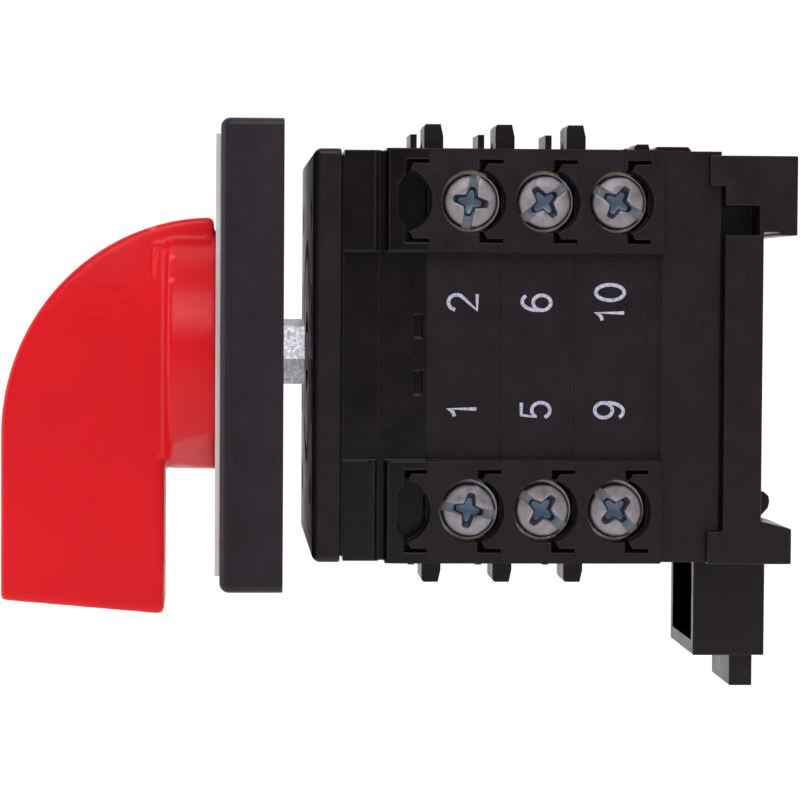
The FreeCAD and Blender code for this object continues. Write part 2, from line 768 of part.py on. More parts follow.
def make_tie_bolts():
    bolts = []
    for x, z in CORNERS:
        line = (size("tie_x") * x, size("tie_z") * z)
        stem = rod("y", line, "tie_radius", (4.8, size("cap_end") - 2.2))
        head = rod("y", line, 2.8, (size("cap_end") - 2.2, size("cap_end") - 0.1))
        bolts.append(fused([stem, head]))
    group(bolts, "tie_bolts")


def make_foot():
    """Rail foot: a plate with a hook on top, a nose below and the latch housing under it."""
    body = new_body("rail_foot")
    front = size("cap_end")
    rear = size("foot_rear")
    hook = size("hook_rear")
    profile = sketch_on(body, "YZ_Plane", -(deck_half - 0.35))
    closed_outline(profile, [
        (front, -size("foot_low")), (61.8, -size("foot_low")), (61.8, -22.05), (rear, -21.05),
        (rear, 16.1), (59.95, 16.1), (59.95, "hook_low"), (hook, "hook_low"),
        (hook, "foot_top"), (front, "foot_top"),
    ])
    pad(body, profile, size("deck_side") - 0.7)
    doc.recompute()
    inset = size("deck_side") / 2.0 - 2.5
    for x in SIDES:
        window = sketch_on(body, "YZ_Plane", deck_half * x)
        closed_outline(window, [(front + 0.2, 15.7), (57.3, 15.7), (57.3, 19.5), (front + 0.2, 19.5)])
        pocket(body, window, 6.0, along_normal=x < 0)
        groove = sketch_on(body, "YZ_Plane", deck_half * x)
        closed_outline(groove, [(front - 0.1, -22.4), (front + 0.4, -22.4), (front + 0.4, 22.0),
                                (front - 0.1, 22.0)])
        pocket(body, groove, deck_half - inset, along_normal=x < 0)
    for low, high in ((22.0, 25.9), (-26.6, -22.4)):
        for offset in (24.8, -26.0):
            clip = sketch_on(body, "YZ_Plane", offset)
            closed_outline(clip, [(50.9, low), (front + 0.5, low), (front + 0.5, high), (50.9, high)])
            pad(body, clip, 1.2)
    house = sketch_on(body, "YZ_Plane", -size("house_half"))
    closed_outline(house, [(51.7, -size("house_low")), (61.3, -size("house_low")), (61.3, -26.0),
                           (front, -26.0), (front, -size("foot_low") - 0.1),
                           (51.7, -size("foot_low") - 0.1)])
    pad(body, house, size("house_half") * 2.0)
    doc.recompute()
    inner = size("house_half") - 1.8
    room = sketch_on(body, "YZ_Plane", -inner)
    closed_outline(room, [(51.0, -38.4), (59.9, -38.4), (59.9, -28.2), (51.0, -28.2)])
    pocket(body, room, inner * 2.0, along_normal=True)
    channel = size("latch_half") + FINE
    guide = sketch_on(body, "YZ_Plane", -1.5)
    closed_outline(guide, [(52.4, -38.5), (54.0, -38.5), (54.0, -35.8), (52.4, -35.8)])
    pad(body, guide, 3.0)
    way = sketch_on(body, "YZ_Plane", -channel)
    behind = size("slider_rear") + FINE
    before = size("slider_front") - FINE
    closed_outline(way, [(before, -50.0), (behind, -50.0), (behind, -17.0), (before, -17.0)])
    pocket(body, way, channel * 2.0, along_normal=True)
    mouth = sketch_on(body, "YZ_Plane", -(channel + 2.0))
    closed_outline(mouth, [(rear, -27.0), (63.0, -27.0), (63.0, -17.0), (rear, -17.0)])
    pocket(body, mouth, (channel + 2.0) * 2.0, along_normal=True)
    screws = sketch_on(body, "XZ_Plane", -front)
    for x in SIDES:
        circle(screws, (size(18.5) * x, 8.0), 1.8)
    pocket(body, screws, 7.0)
    heads = sketch_on(body, "XZ_Plane", -(rear - 2.4))
    for x in SIDES:
        circle(heads, (size(18.5) * x, 8.0), 3.3)
    pocket(body, heads, 4.0)
    holders = []
    for x in SIDES:
        line = (size(18.5) * x, 8.0)
        head = rod("y", line, 3.0, (rear - 2.4, rear - 0.3))
        stem = rod("y", line, 1.5, (front - 5.0, rear - 2.4))
        holders.append(fused([head, stem]))
    group(holders, "foot_screws")


def make_latch():
    """Sprung slider with the tooth behind the rail's lower edge and the release tab below."""
    body = new_body("rail_latch")
    slider = sketch_on(body, "YZ_Plane", -size("latch_half"))
    closed_outline(slider, [
        ("slider_front", -size("tab_low")), ("slider_rear", -size("tab_low")), ("slider_rear", -22.9),
        (62.2, -20.7), (62.4, -19.9), (62.3, -19.1), (61.6, -18.5), (60.0, -18.05), ("slider_front", -18.05),
    ])
    pad(body, slider, size("latch_half") * 2.0)
    arm = sketch_on(body, "YZ_Plane", -7.0)
    closed_outline(arm, [(53.0, -30.6), (57.2, -30.6), (57.2, -29.0), (53.0, -29.0)])
    pad(body, arm, 14.0)
    springs = []
    for x in SIDES:
        outer = rod("z", (size(5.0) * x, 54.6), 1.5, (-38.4, -30.6))
        springs.append(without(outer, [rod("z", (size(5.0) * x, 54.6), 1.1, (-39.0, -30.0))]))
    group(springs, "latch_springs")


make_knob()
make_knob_hardware()
make_shaft()
make_escutcheon()
make_front()
make_index()
make_detent()
for deck_number in (1, 2, 3):
    make_deck(deck_number)
make_end_cap()
make_tie_bolts()
make_foot()
make_latch()
doc.recompute()

for item in doc.Objects:
    if "Invalid" in item.State or "Error" in item.State:
        raise RuntimeError(f"{item.Name} ({item.Label}) is {item.State}")
for node in nodes:
    if node.Shape.isNull() or not node.Shape.isValid():
        raise RuntimeError(f"{node.Label} has no valid shape")
    node.Shape.exportStep(f"parts/{node.Label}.step")
print(len(nodes), "nodes written")
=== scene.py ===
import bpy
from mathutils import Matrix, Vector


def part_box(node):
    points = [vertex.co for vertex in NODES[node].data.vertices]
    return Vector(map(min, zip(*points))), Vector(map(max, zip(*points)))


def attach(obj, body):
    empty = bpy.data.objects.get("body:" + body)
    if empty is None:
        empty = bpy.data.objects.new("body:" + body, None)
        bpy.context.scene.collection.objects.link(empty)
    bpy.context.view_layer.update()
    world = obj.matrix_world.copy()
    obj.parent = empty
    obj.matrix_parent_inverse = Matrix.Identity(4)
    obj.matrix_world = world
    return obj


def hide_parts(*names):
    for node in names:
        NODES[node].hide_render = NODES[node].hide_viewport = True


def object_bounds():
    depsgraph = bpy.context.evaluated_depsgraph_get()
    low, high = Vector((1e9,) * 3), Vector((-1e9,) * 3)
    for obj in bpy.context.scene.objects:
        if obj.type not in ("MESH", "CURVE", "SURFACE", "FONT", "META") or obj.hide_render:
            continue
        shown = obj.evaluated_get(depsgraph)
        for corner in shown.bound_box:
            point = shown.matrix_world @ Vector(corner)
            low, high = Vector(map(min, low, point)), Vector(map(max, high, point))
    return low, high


bl_info = {
    "name": "Rotary Changeover Switch",
    "version": (1, 0, 0),
    "blender": (4, 5, 0),
    "location": "3D View > Sidebar > Switch",
    "description": "Builds the finished looks of a rotary cam changeover switch on its CAD frame",
    "category": "Add Mesh",
}

import math
import bmesh
import bpy
from mathutils import Matrix, Vector

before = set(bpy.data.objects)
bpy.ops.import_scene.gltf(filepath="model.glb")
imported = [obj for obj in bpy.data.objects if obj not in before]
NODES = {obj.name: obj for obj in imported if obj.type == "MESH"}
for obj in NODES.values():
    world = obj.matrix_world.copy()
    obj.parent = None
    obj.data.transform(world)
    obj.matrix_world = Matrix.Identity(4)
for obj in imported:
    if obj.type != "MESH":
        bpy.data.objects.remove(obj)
CAD_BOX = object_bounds()

MM = 0.001
FULL_TURN = 2.0 * math.pi
BODY = "switch_body"
DECKS = (1, 2, 3)
SIDES = (1.0, -1.0)


def low(node):
    """A node's lowest corner at rest."""
    return Vector(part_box(node)[0])


def high(node):
    """A node's highest corner at rest."""
    return Vector(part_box(node)[1])


# ------------------------------------------------------------------ settings

class SwitchPlasticSettings(bpy.types.PropertyGroup):
    """Colours and edge softness of the moulded parts."""

    housing_colour: bpy.props.FloatVectorProperty(
        name="Housing colour", description="Black of the decks, the end cap and the foot",
        subtype="COLOR", size=3, default=(0.0090, 0.0048, 0.0080))
    index_colour: bpy.props.FloatVectorProperty(
        name="Index housing colour", description="Deeper black of the polished index housing",
        subtype="COLOR", size=3, default=(0.0040, 0.0020, 0.0032))
    plate_colour: bpy.props.FloatVectorProperty(
        name="Escutcheon colour", description="Satin black of the escutcheon",
        subtype="COLOR", size=3, default=(0.0130, 0.0090, 0.0128))
    handle_colour: bpy.props.FloatVectorProperty(
        name="Handle colour", description="Red of the pistol-grip handle",
        subtype="COLOR", size=3, default=(0.590, 0.0040, 0.0090))
    edge: bpy.props.FloatProperty(
        name="Edge radius", description="Softness of the moulded edges",
        subtype="DISTANCE", unit="LENGTH", default=0.16 * MM)


class SwitchHandleSettings(bpy.types.PropertyGroup):
    """Sizes of the handle that the CAD solid leaves plain."""

    grip_half: bpy.props.FloatProperty(
        name="Grip half thickness", description="Half the grip's thickness at its shoulder",
        subtype="DISTANCE", unit="LENGTH", default=6.6 * MM)
    draft: bpy.props.FloatProperty(
        name="Grip lean", description="How much thinner each side is at the grip's crest",
        subtype="DISTANCE", unit="LENGTH", default=1.1 * MM)
    rounding: bpy.props.FloatProperty(
        name="Grip rounding", description="Radius along the grip's outer edges",
        subtype="DISTANCE", unit="LENGTH", default=0.7 * MM)
    fillet: bpy.props.FloatProperty(
        name="Grip fillet", description="Radius of the hollow fillet between the grip and the hub",
        subtype="DISTANCE", unit="LENGTH", default=1.7 * MM)
    arc_radius: bpy.props.FloatProperty(
        name="Shoulder radius", description="Radius of the grip's round shoulder",
        subtype="DISTANCE", unit="LENGTH", default=29.2 * MM)
    blend_cell: bpy.props.FloatProperty(
        name="Blend cell", description="Cell size of the handle's finished surface",
        subtype="DISTANCE", unit="LENGTH", default=0.36 * MM)
    blend_passes: bpy.props.IntProperty(
        name="Blend passes", description="How often the handle's corners are softened", min=0, default=5)


class SwitchScrewSettings(bpy.types.PropertyGroup):
    """Sizes of the terminal screws."""

    head_radius: bpy.props.FloatProperty(
        name="Head radius", description="Radius of a terminal screw's head",
        subtype="DISTANCE", unit="LENGTH", default=3.5 * MM)
    head_height: bpy.props.FloatProperty(
        name="Head height", description="Height of a terminal screw's head",
        subtype="DISTANCE", unit="LENGTH", default=2.3 * MM)
    slot_width: bpy.props.FloatProperty(
        name="Slot width", description="Width of the straight slot",
        subtype="DISTANCE", unit="LENGTH", default=1.25 * MM)
    cross_reach: bpy.props.FloatProperty(
        name="Cross reach", description="Half the length of the cross recess",
        subtype="DISTANCE", unit="LENGTH", default=2.75 * MM)
    cross_width: bpy.props.FloatProperty(
        name="Cross width", description="Width of the cross recess's arms",
        subtype="DISTANCE", unit="LENGTH", default=1.2 * MM)


class SwitchPrintSettings(bpy.types.PropertyGroup):
    """Terminal numbers and the legend."""

    digit_height: bpy.props.FloatProperty(
        name="Terminal number height", description="Height of the printed terminal numbers",
        subtype="DISTANCE", unit="LENGTH", default=3.7 * MM)
    legend_height: bpy.props.FloatProperty(
        name="Legend number height", description="Height of the position numbers on the legend plate",
        subtype="DISTANCE", unit="LENGTH", default=6.0 * MM)
    ink_colour: bpy.props.FloatVectorProperty(
        name="Ink colour", description="Pale ink of the terminal numbers",
        subtype="COLOR", size=3, default=(0.40, 0.40, 0.52))


class SwitchStageSettings(bpy.types.PropertyGroup):
    """Camera and light."""

    camera_distance: bpy.props.FloatProperty(
        name="Camera distance", description="Camera distance from the shaft axis",
        subtype="DISTANCE", unit="LENGTH", default=410.3 * MM)
    camera_side: bpy.props.FloatProperty(
        name="Camera place along the shaft", description="How far towards the rear the camera stands",
        subtype="DISTANCE", unit="LENGTH", default=-11.6 * MM)
    camera_height: bpy.props.FloatProperty(
        name="Camera height", description="Height of the camera above the shaft axis",
        subtype="DISTANCE", unit="LENGTH", default=8.64 * MM)
    camera_yaw: bpy.props.FloatProperty(
        name="Camera yaw", description="Turn of the view towards the rear of the switch",
        subtype="ANGLE", unit="ROTATION", default=math.radians(3.39557))
    camera_pitch: bpy.props.FloatProperty(
        name="Camera pitch", description="How far the view looks down",
        subtype="ANGLE", unit="ROTATION", default=math.radians(2.11898))
    camera_roll: bpy.props.FloatProperty(
        name="Camera roll", description="Tilt of the picture",
        subtype="ANGLE", unit="ROTATION", default=math.radians(0.35))
    focal_length: bpy.props.FloatProperty(
        name="Focal length", description="Lens focal length in millimetres", default=135.8)
    key_power: bpy.props.FloatProperty(
        name="Key light power", description="Power of the soft key light", unit="POWER", default=1.9)
    floor_drop: bpy.props.FloatProperty(
        name="Floor drop", description="How far the floor lies below the switch",
        subtype="DISTANCE", unit="LENGTH", default=250.0 * MM)
    front_sky: bpy.props.FloatProperty(
        name="Front surround", description="Strength of the surround on the camera's side", default=0.22)
    sky: bpy.props.FloatProperty(
        name="Surround", description="Strength of the surround behind the switch", default=1.05)


# ------------------------------------------------------------------ materials

def new_material(name):
    """A material with an empty Principled surface, its node tree and its shader."""
    material = bpy.data.materials.new(name)
    material.use_nodes = True
    tree = material.node_tree
    tree.nodes.clear()
    output = tree.nodes.new("ShaderNodeOutputMaterial")
    shader = tree.nodes.new("ShaderNodeBsdfPrincipled")
    tree.links.new(shader.outputs["BSDF"], output.inputs["Surface"])
    return material, tree, shader


def noise(tree, scale, detail=3.0, rough=0.55, stretch=None):
    """A noise on Object coordinates. Scale is in cells per metre."""
    place = tree.nodes.new("ShaderNodeTexCoord")
    mapping = tree.nodes.new("ShaderNodeMapping")
    if stretch:
        mapping.inputs["Scale"].default_value = stretch
    field = tree.nodes.new("ShaderNodeTexNoise")
    field.inputs["Scale"].default_value = scale
    field.inputs["Detail"].default_value = detail
    field.inputs["Roughness"].default_value = rough
    tree.links.new(place.outputs["Object"], mapping.inputs["Vector"])
    tree.links.new(mapping.outputs["Vector"], field.inputs["Vector"])
    return field.outputs["Fac"]


def ramp(tree, value, stops):
    """A colour ramp on a value. Stops are (place, colour)."""
    node = tree.nodes.new("ShaderNodeValToRGB")
    elements = node.color_ramp.elements
    while len(elements) < len(stops):
        elements.new(0.5)
    for element, (place, colour) in zip(elements, stops):
        element.position = place
        element.color = (*colour, 1.0)
    tree.links.new(value, node.inputs["Fac"])
    return node.outputs["Color"]


def spread(tree, value, start, end, source=(0.3, 0.7)):
    """A value mapped from the source range to start..end."""
    node = tree.nodes.new("ShaderNodeMapRange")
    node.inputs["From Min"].default_value = source[0]
    node.inputs["From Max"].default_value = source[1]
    node.inputs["To Min"].default_value = start
    node.inputs["To Max"].default_value = end
    tree.links.new(value, node.inputs["Value"])
    return node.outputs["Result"]


def mix(tree, factor, first, second):
    """A colour mix of two sockets or colours."""
    node = tree.nodes.new("ShaderNodeMix")
    node.data_type = "RGBA"
    tree.links.new(factor, node.inputs["Factor"])
    for socket, item in ((node.inputs[6], first), (node.inputs[7], second)):
        if isinstance(item, bpy.types.NodeSocket):
            tree.links.new(item, socket)
        else:
            socket.default_value = (*item, 1.0)
    return node.outputs[2]


def rounded_normal(tree, radius):
    """The surface's direction with its corners shaded as rounded."""
    bevel = tree.nodes.new("ShaderNodeBevel")
    bevel.samples = 6
    bevel.inputs["Radius"].default_value = radius
    return bevel.outputs["Normal"]


def bumps(tree, shader, layers, rounding=0.0):
    """Chained bumps on a shader, over corners shaded as rounded. Layers are (height, strength, metres)."""
    normal = rounded_normal(tree, rounding) if rounding else None
    for height, strength, distance in layers:
        node = tree.nodes.new("ShaderNodeBump")
        node.inputs["Strength"].default_value = strength
        node.inputs["Distance"].default_value = distance
        tree.links.new(height, node.inputs["Height"])
        if normal:
            tree.links.new(normal, node.inputs["Normal"])
        normal = node.outputs["Normal"]
    tree.links.new(normal, shader.inputs["Normal"])


def edge_mask(tree, start=0.52, end=0.60):
    """Where the surface is convex, along an edge that the finishes paint lighter as a painted highlight,
    partly wear.
    """
    geometry = tree.nodes.new("ShaderNodeNewGeometry")
    return spread(tree, geometry.outputs["Pointiness"], 0.0, 1.0, (start, end))


def corner_mask(tree, rounding):
    """Where a face runs into a corner, on coarse meshes whose corners are only shaded as rounded."""
    geometry = tree.nodes.new("ShaderNodeNewGeometry")
    turned = tree.nodes.new("ShaderNodeVectorMath")
    turned.operation = "DOT_PRODUCT"
    tree.links.new(rounded_normal(tree, rounding), turned.inputs[0])
    tree.links.new(geometry.outputs["Normal"], turned.inputs[1])
    return spread(tree, turned.outputs["Value"], 0.0, 1.0, (0.99, 0.86))


def scaled(colour, factor):
    """A colour made lighter or darker."""
    return tuple(min(1.0, channel * factor) for channel in colour)


def moulded(name, colour, rough, grain, gloss=0.5, edge_wear_light_shade=2.4, rounding=0.0):
    """Moulded plastic: mottled colour, fine grain, edges painted lighter as a painted highlight that is
    partly wear, or painted darker as painted shade where parts meet.
    """
    material, tree, shader = new_material(name)
    cloud = noise(tree, 260.0, 4.0)
    fine = noise(tree, grain, 2.0)
    body = ramp(tree, cloud, [(0.30, scaled(colour, 0.80)), (0.50, colour), (0.72, scaled(colour, 1.30))])
    speck = ramp(tree, fine, [(0.35, scaled(colour, 0.75)), (0.72, scaled(colour, 1.45))])
    blend = tree.nodes.new("ShaderNodeMix")
    blend.data_type = "RGBA"
    blend.inputs["Factor"].default_value = 0.4
    tree.links.new(body, blend.inputs[6])
    tree.links.new(speck, blend.inputs[7])
    # The edge factor paints the corners: above one a painted highlight, partly wear; below one painted shade
    # where parts meet.
    mask = corner_mask(tree, rounding) if rounding else edge_mask(tree)
    wear_light_shade_edges = mix(tree, mask, blend.outputs[2], scaled(colour, edge_wear_light_shade))
    tree.links.new(wear_light_shade_edges, shader.inputs["Base Color"])
    tree.links.new(spread(tree, cloud, rough - 0.05, rough + 0.06), shader.inputs["Roughness"])
    shader.inputs["Specular IOR Level"].default_value = gloss
    bumps(tree, shader, [(fine, 0.35, 0.02 * MM), (cloud, 0.12, 0.05 * MM)], rounding)
    return material


def red_plastic(name, colour):
    """Glossy red moulding with a faint orange peel, slight colour drift and a painted highlight along its
    edges.
    """
    material, tree, shader = new_material(name)
    drift = noise(tree, 60.0, 2.0)
    peel = noise(tree, 520.0, 2.0)
    scuff = noise(tree, 900.0, 4.0, 0.7, (1.0, 0.25, 1.0))
    body = ramp(tree, drift, [(0.32, scaled(colour, 0.95)), (0.70, scaled(colour, 1.04))])
    # Painted highlight: the convex edges are painted a lighter red.
    painted_edge_highlight = mix(tree, edge_mask(tree, 0.53, 0.64), body, (0.78, 0.055, 0.060))
    tree.links.new(painted_edge_highlight, shader.inputs["Base Color"])
    tree.links.new(spread(tree, scuff, 0.27, 0.40), shader.inputs["Roughness"])
    shader.inputs["Specular IOR Level"].default_value = 0.20
    shader.inputs["Subsurface Weight"].default_value = 0.06
    shader.inputs["Subsurface Radius"].default_value = (1.2 * MM, 0.3 * MM, 0.2 * MM)
    shader.inputs["Subsurface Scale"].default_value = 1.0
    bumps(tree, shader, [(peel, 0.10, 0.05 * MM), (scuff, 0.06, 0.02 * MM)])
    return material


def metal(name, colour, rough, tarnish, stretch=(1.0, 1.0, 1.0), grain=2200.0):
    """Bare or plated metal: drawn or stamped grain, tarnish in patches."""
    material, tree, shader = new_material(name)
    patches = noise(tree, 420.0, 4.0, 0.6)
    lines = noise(tree, grain, 3.0, 0.6, stretch)
    body = mix(tree, spread(tree, patches, 0.0, 1.0), colour, tarnish)
    tree.links.new(body, shader.inputs["Base Color"])
    shader.inputs["Metallic"].default_value = 1.0
    tree.links.new(spread(tree, lines, rough - 0.08, rough + 0.10), shader.inputs["Roughness"])
    bumps(tree, shader, [(lines, 0.20, 0.006 * MM), (patches, 0.08, 0.01 * MM)])
    return material


def turned_zinc(name, colour, recess):
    """Zinc-plated screw head: rings from turning, with bluish passivation where the recess lies."""
    material, tree, shader = new_material(name)
    rings = tree.nodes.new("ShaderNodeAttribute")
    rings.attribute_name = "ring"
    depth = tree.nodes.new("ShaderNodeAttribute")
    depth.attribute_name = "recess"
    wave = tree.nodes.new("ShaderNodeTexWave")
    wave.wave_type = "BANDS"
    wave.inputs["Scale"].default_value = 2.2
    wave.inputs["Distortion"].default_value = 1.4
    combine = tree.nodes.new("ShaderNodeCombineXYZ")
    tree.links.new(rings.outputs["Fac"], combine.inputs["X"])
    tree.links.new(combine.outputs["Vector"], wave.inputs["Vector"])
    patches = noise(tree, 650.0, 4.0, 0.65)
    body = ramp(tree, patches, [(0.30, scaled(colour, 0.72)), (0.55, colour), (0.75, scaled(colour, 1.15))])
    blued = mix(tree, depth.outputs["Fac"], body, recess)
    tree.links.new(blued, shader.inputs["Base Color"])
    shader.inputs["Metallic"].default_value = 0.92
    tree.links.new(spread(tree, patches, 0.30, 0.46), shader.inputs["Roughness"])
    bumps(tree, shader, [(wave.outputs["Fac"], 0.22, 0.02 * MM), (patches, 0.25, 0.03 * MM)])
    return material


def ink(name, colour):
    """Pad-printed ink, a little thin in places."""
    material, tree, shader = new_material(name)
    wear = noise(tree, 2600.0, 3.0, 0.7)
    body = ramp(tree, wear, [(0.30, scaled(colour, 0.45)), (0.52, colour), (0.75, scaled(colour, 1.25))])
    tree.links.new(body, shader.inputs["Base Color"])
    tree.links.new(spread(tree, wear, 0.45, 0.65), shader.inputs["Roughness"])
    bumps(tree, shader, [(wear, 0.2, 0.01 * MM)])
    return material


def rubber(name, colour):
    """Matt black rubber with a fine bloom."""
    material, tree, shader = new_material(name)
    bloom = noise(tree, 900.0, 4.0)
    body = ramp(tree, bloom, [(0.3, colour), (0.7, scaled(colour, 1.8))])
    tree.links.new(body, shader.inputs["Base Color"])
    tree.links.new(spread(tree, bloom, 0.75, 0.92), shader.inputs["Roughness"])
    bumps(tree, shader, [(bloom, 0.3, 0.03 * MM)])
    return material


def pale_card(name):
    """Matt white card with the faintest fibre."""
    material, tree, shader = new_material(name)
    fibre = noise(tree, 40.0, 3.0)
    body = ramp(tree, fibre, [(0.3, (0.90, 0.90, 0.90)), (0.7, (0.93, 0.93, 0.93))])
    tree.links.new(body, shader.inputs["Base Color"])
    shader.inputs["Roughness"].default_value = 0.9
    shader.inputs["Specular IOR Level"].default_value = 0.1
    shader.inputs["Emission Color"].default_value = (1.0, 1.0, 1.0, 1.0)
    shader.inputs["Emission Strength"].default_value = 0.45
    return material


materials = {}


def make_materials(plastic, print_settings):
    """Every finish of the switch, by name."""
    housing = tuple(plastic.housing_colour)
    index = tuple(plastic.index_colour)
    plate = tuple(plastic.plate_colour)
    # The edge factor (sixth value, 2.4 when not given) paints the edges: housing, index, plate and natural
    # get a painted highlight, partly wear; the decks get painted shade at corners and seams.
    materials["housing"] = moulded("moulded_black", housing, 0.34, 2400.0, 0.22, 2.0, 0.22 * MM)
    materials["deck"] = moulded("deck_black", housing, 0.34, 2400.0, 0.22, 0.05, 0.20 * MM)
    materials["index"] = moulded("polished_black", index, 0.20, 900.0, 0.24, 3.0, 0.3 * MM)
    materials["plate"] = moulded("satin_black", plate, 0.38, 1800.0, 0.20)
    materials["natural"] = moulded("natural_plastic", (0.62, 0.60, 0.54), 0.42, 1500.0, 0.5, 1.05)
    materials["red"] = red_plastic("handle_red", tuple(plastic.handle_colour))
    materials["zinc"] = turned_zinc("zinc_screw", (0.33, 0.30, 0.32), (0.10, 0.14, 0.19))
    materials["plated"] = metal("zinc_plated", (0.58, 0.58, 0.63), 0.36, (0.53, 0.53, 0.59))
    materials["steel"] = metal("drawn_steel", (0.50, 0.50, 0.52), 0.32, (0.38, 0.38, 0.40), (1.0, 0.05, 1.0))
    materials["wire"] = metal("spring_wire", (0.42, 0.42, 0.43), 0.30, (0.30, 0.30, 0.32))
    materials["brass"] = metal("stamped_brass", (0.72, 0.52, 0.22), 0.32, (0.55, 0.38, 0.16))
    materials["legend"] = metal("brushed_legend", (0.74, 0.70, 0.71), 0.38, (0.66, 0.62, 0.64),
                                (1.0, 1.0, 0.03))
    materials["seal"] = rubber("seal_rubber", (0.020, 0.020, 0.021))
    materials["ink"] = ink("pale_ink", tuple(print_settings.ink_colour))
    materials["black_ink"] = ink("black_ink", (0.015, 0.015, 0.017))
    materials["card"] = pale_card("pale_card")


# ------------------------------------------------------------------ mesh helpers

def add_object(name, mesh):
    """A new object in the scene's own collection."""
    piece = bpy.data.objects.new(name, mesh)
    bpy.context.scene.collection.objects.link(piece)
    return piece


def dress(piece, material):
    """Give a piece one finish all over."""
    piece.data.materials.clear()
    piece.data.materials.append(material)
    return piece


def baked(piece):
    """Turn a piece with modifiers into a plain mesh."""
    graph = bpy.context.evaluated_depsgraph_get()
    mesh = bpy.data.meshes.new_from_object(piece.evaluated_get(graph))
    piece.modifiers.clear()
    old = piece.data
    piece.data = mesh
    mesh.name = piece.name
    if isinstance(old, bpy.types.Mesh):
        bpy.data.meshes.remove(old)
    return piece


def settle(piece, matrix):
    """Put a piece's place into its mesh."""
    piece.data.transform(matrix)
    piece.matrix_world = Matrix.Identity(4)
    return piece


def joined(name, pieces):
    """One object from several plain meshes."""
    result = bmesh.new()
    for piece in pieces:
        result.from_mesh(piece.data)
    mesh = bpy.data.meshes.new(name)
    result.to_mesh(mesh)
    result.free()
    for piece in pieces:
        bpy.data.objects.remove(piece)
    return add_object(name, mesh)


def smooth_by_angle(mesh, degrees=32.0):
    """Smooth faces with sharp edges where the surface turns more than the angle."""
    work = bmesh.new()
    work.from_mesh(mesh)
    limit = math.radians(degrees)
    for face in work.faces:
        face.smooth = True
    for edge in work.edges:
        sharp = len(edge.link_faces) != 2 or edge.calc_face_angle(0.0) > limit
        edge.smooth = not sharp
    work.to_mesh(mesh)
    work.free()


def merged_copy(node, name):
    """A merged copy of a CAD node's mesh, with its flat faces made whole again."""
    work = bmesh.new()
    work.from_mesh(NODES[node].data)
    bmesh.ops.remove_doubles(work, verts=work.verts, dist=0.002 * MM)
    bmesh.ops.dissolve_limit(work, angle_limit=math.radians(0.6), verts=work.verts, edges=work.edges,
                             delimit={"NORMAL"})
    mesh = bpy.data.meshes.new(name)
    work.to_mesh(mesh)
    work.free()
    return add_object(name, mesh)


def shaded(piece, angle):
    """Smooth shading in which large faces win over small ones."""
    smooth_by_angle(piece.data, angle)
    weighted = piece.modifiers.new("normals", "WEIGHTED_NORMAL")
    weighted.keep_sharp = True
    weighted.weight = 100
    return baked(piece)


def soften(piece, width):
    """Round a piece's edges and shade it smoothly over them."""
    bevel = piece.modifiers.new("edges", "BEVEL")
    bevel.width = width
    bevel.segments = 2
    bevel.limit_method = "ANGLE"
    bevel.angle_limit = math.radians(32.0)
    bevel.use_clamp_overlap = False
    bevel.miter_outer = "MITER_ARC"
    bevel.harden_normals = False
    baked(piece)
    return shaded(piece, 40.0)


def stand_for(piece, body, slot, *nodes):
    """Fasten a finished piece to its body, in place of CAD nodes."""
    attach(piece, body)
    if nodes:
        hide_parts(*nodes)
    return piece


def keep_node(node, material):
    """Give a CAD node that stays its better finish."""
    piece = NODES[node]
    for slot in piece.material_slots:
        slot.material = material
    if not piece.material_slots:
        piece.data.materials.append(material)


def lathe(points, steps=64):
    """A closed solid turned about Z from (radius, height) points that start and end on the axis."""
    work = bmesh.new()
    rings = []
    for radius, height in points:
        if radius < 1e-9:
            rings.append([work.verts.new((0.0, 0.0, height))])
            continue
        ring = []
        for step in range(steps):
            angle = FULL_TURN * step / steps
            ring.append(work.verts.new((radius * math.cos(angle), radius * math.sin(angle), height)))
        rings.append(ring)
    for lower, upper in zip(rings, rings[1:]):
        for step in range(steps):
            after = (step + 1) % steps
            if len(lower) == 1:
                work.faces.new((lower[0], upper[after], upper[step]))
            elif len(upper) == 1:
                work.faces.new((lower[step], lower[after], upper[0]))
            else:
                work.faces.new((lower[step], lower[after], upper[after], upper[step]))
    bmesh.ops.recalc_face_normals(work, faces=work.faces)
    return work


def prism(outline, depth):
    """A closed prism on an outline in XY, from z = 0 to depth."""
    work = bmesh.new()
    bottom = [work.verts.new((x, y, 0.0)) for x, y in outline]
    top = [work.verts.new((x, y, depth)) for x, y in outline]
    work.faces.new(list(reversed(bottom)))
    work.faces.new(top)
    for step in range(len(outline)):
        after = (step + 1) % len(outline)
        work.faces.new((bottom[step], bottom[after], top[after], top[step]))
    bmesh.ops.recalc_face_normals(work, faces=work.faces)
    return work


def square(half):
    """A square's outline about the origin."""
    return [(-half, -half), (half, -half), (half, half), (-half, half)]


def from_bmesh(name, work):
    """An object from a bmesh, which is freed."""
    mesh = bpy.data.meshes.new(name)
    work.to_mesh(mesh)
    work.free()
    return add_object(name, mesh)


def combine(piece, other, operation):
    """Boolean a piece with another, which is removed."""
    modifier = piece.modifiers.new(operation.lower(), "BOOLEAN")
    modifier.operation = operation
    modifier.object = other
    modifier.solver = "MANIFOLD"
    baked(piece)
    bpy.data.objects.remove(other)
    return piece


# ------------------------------------------------------------------ Geometry Nodes

def node_tree(name, sockets):
    """A Geometry Nodes tree with named inputs, given as (name, socket type, default)."""
    tree = bpy.data.node_groups.new(name, "GeometryNodeTree")
    tree.interface.new_socket(name="Geometry", in_out="INPUT", socket_type="NodeSocketGeometry")
    for label, kind, default in sockets:
        socket = tree.interface.new_socket(name=label, in_out="INPUT", socket_type=kind)
        if default is not None:
            socket.default_value = default
    tree.interface.new_socket(name="Geometry", in_out="OUTPUT", socket_type="NodeSocketGeometry")
    entry = tree.nodes.new("NodeGroupInput")
    leave = tree.nodes.new("NodeGroupOutput")
    return tree, entry, leave


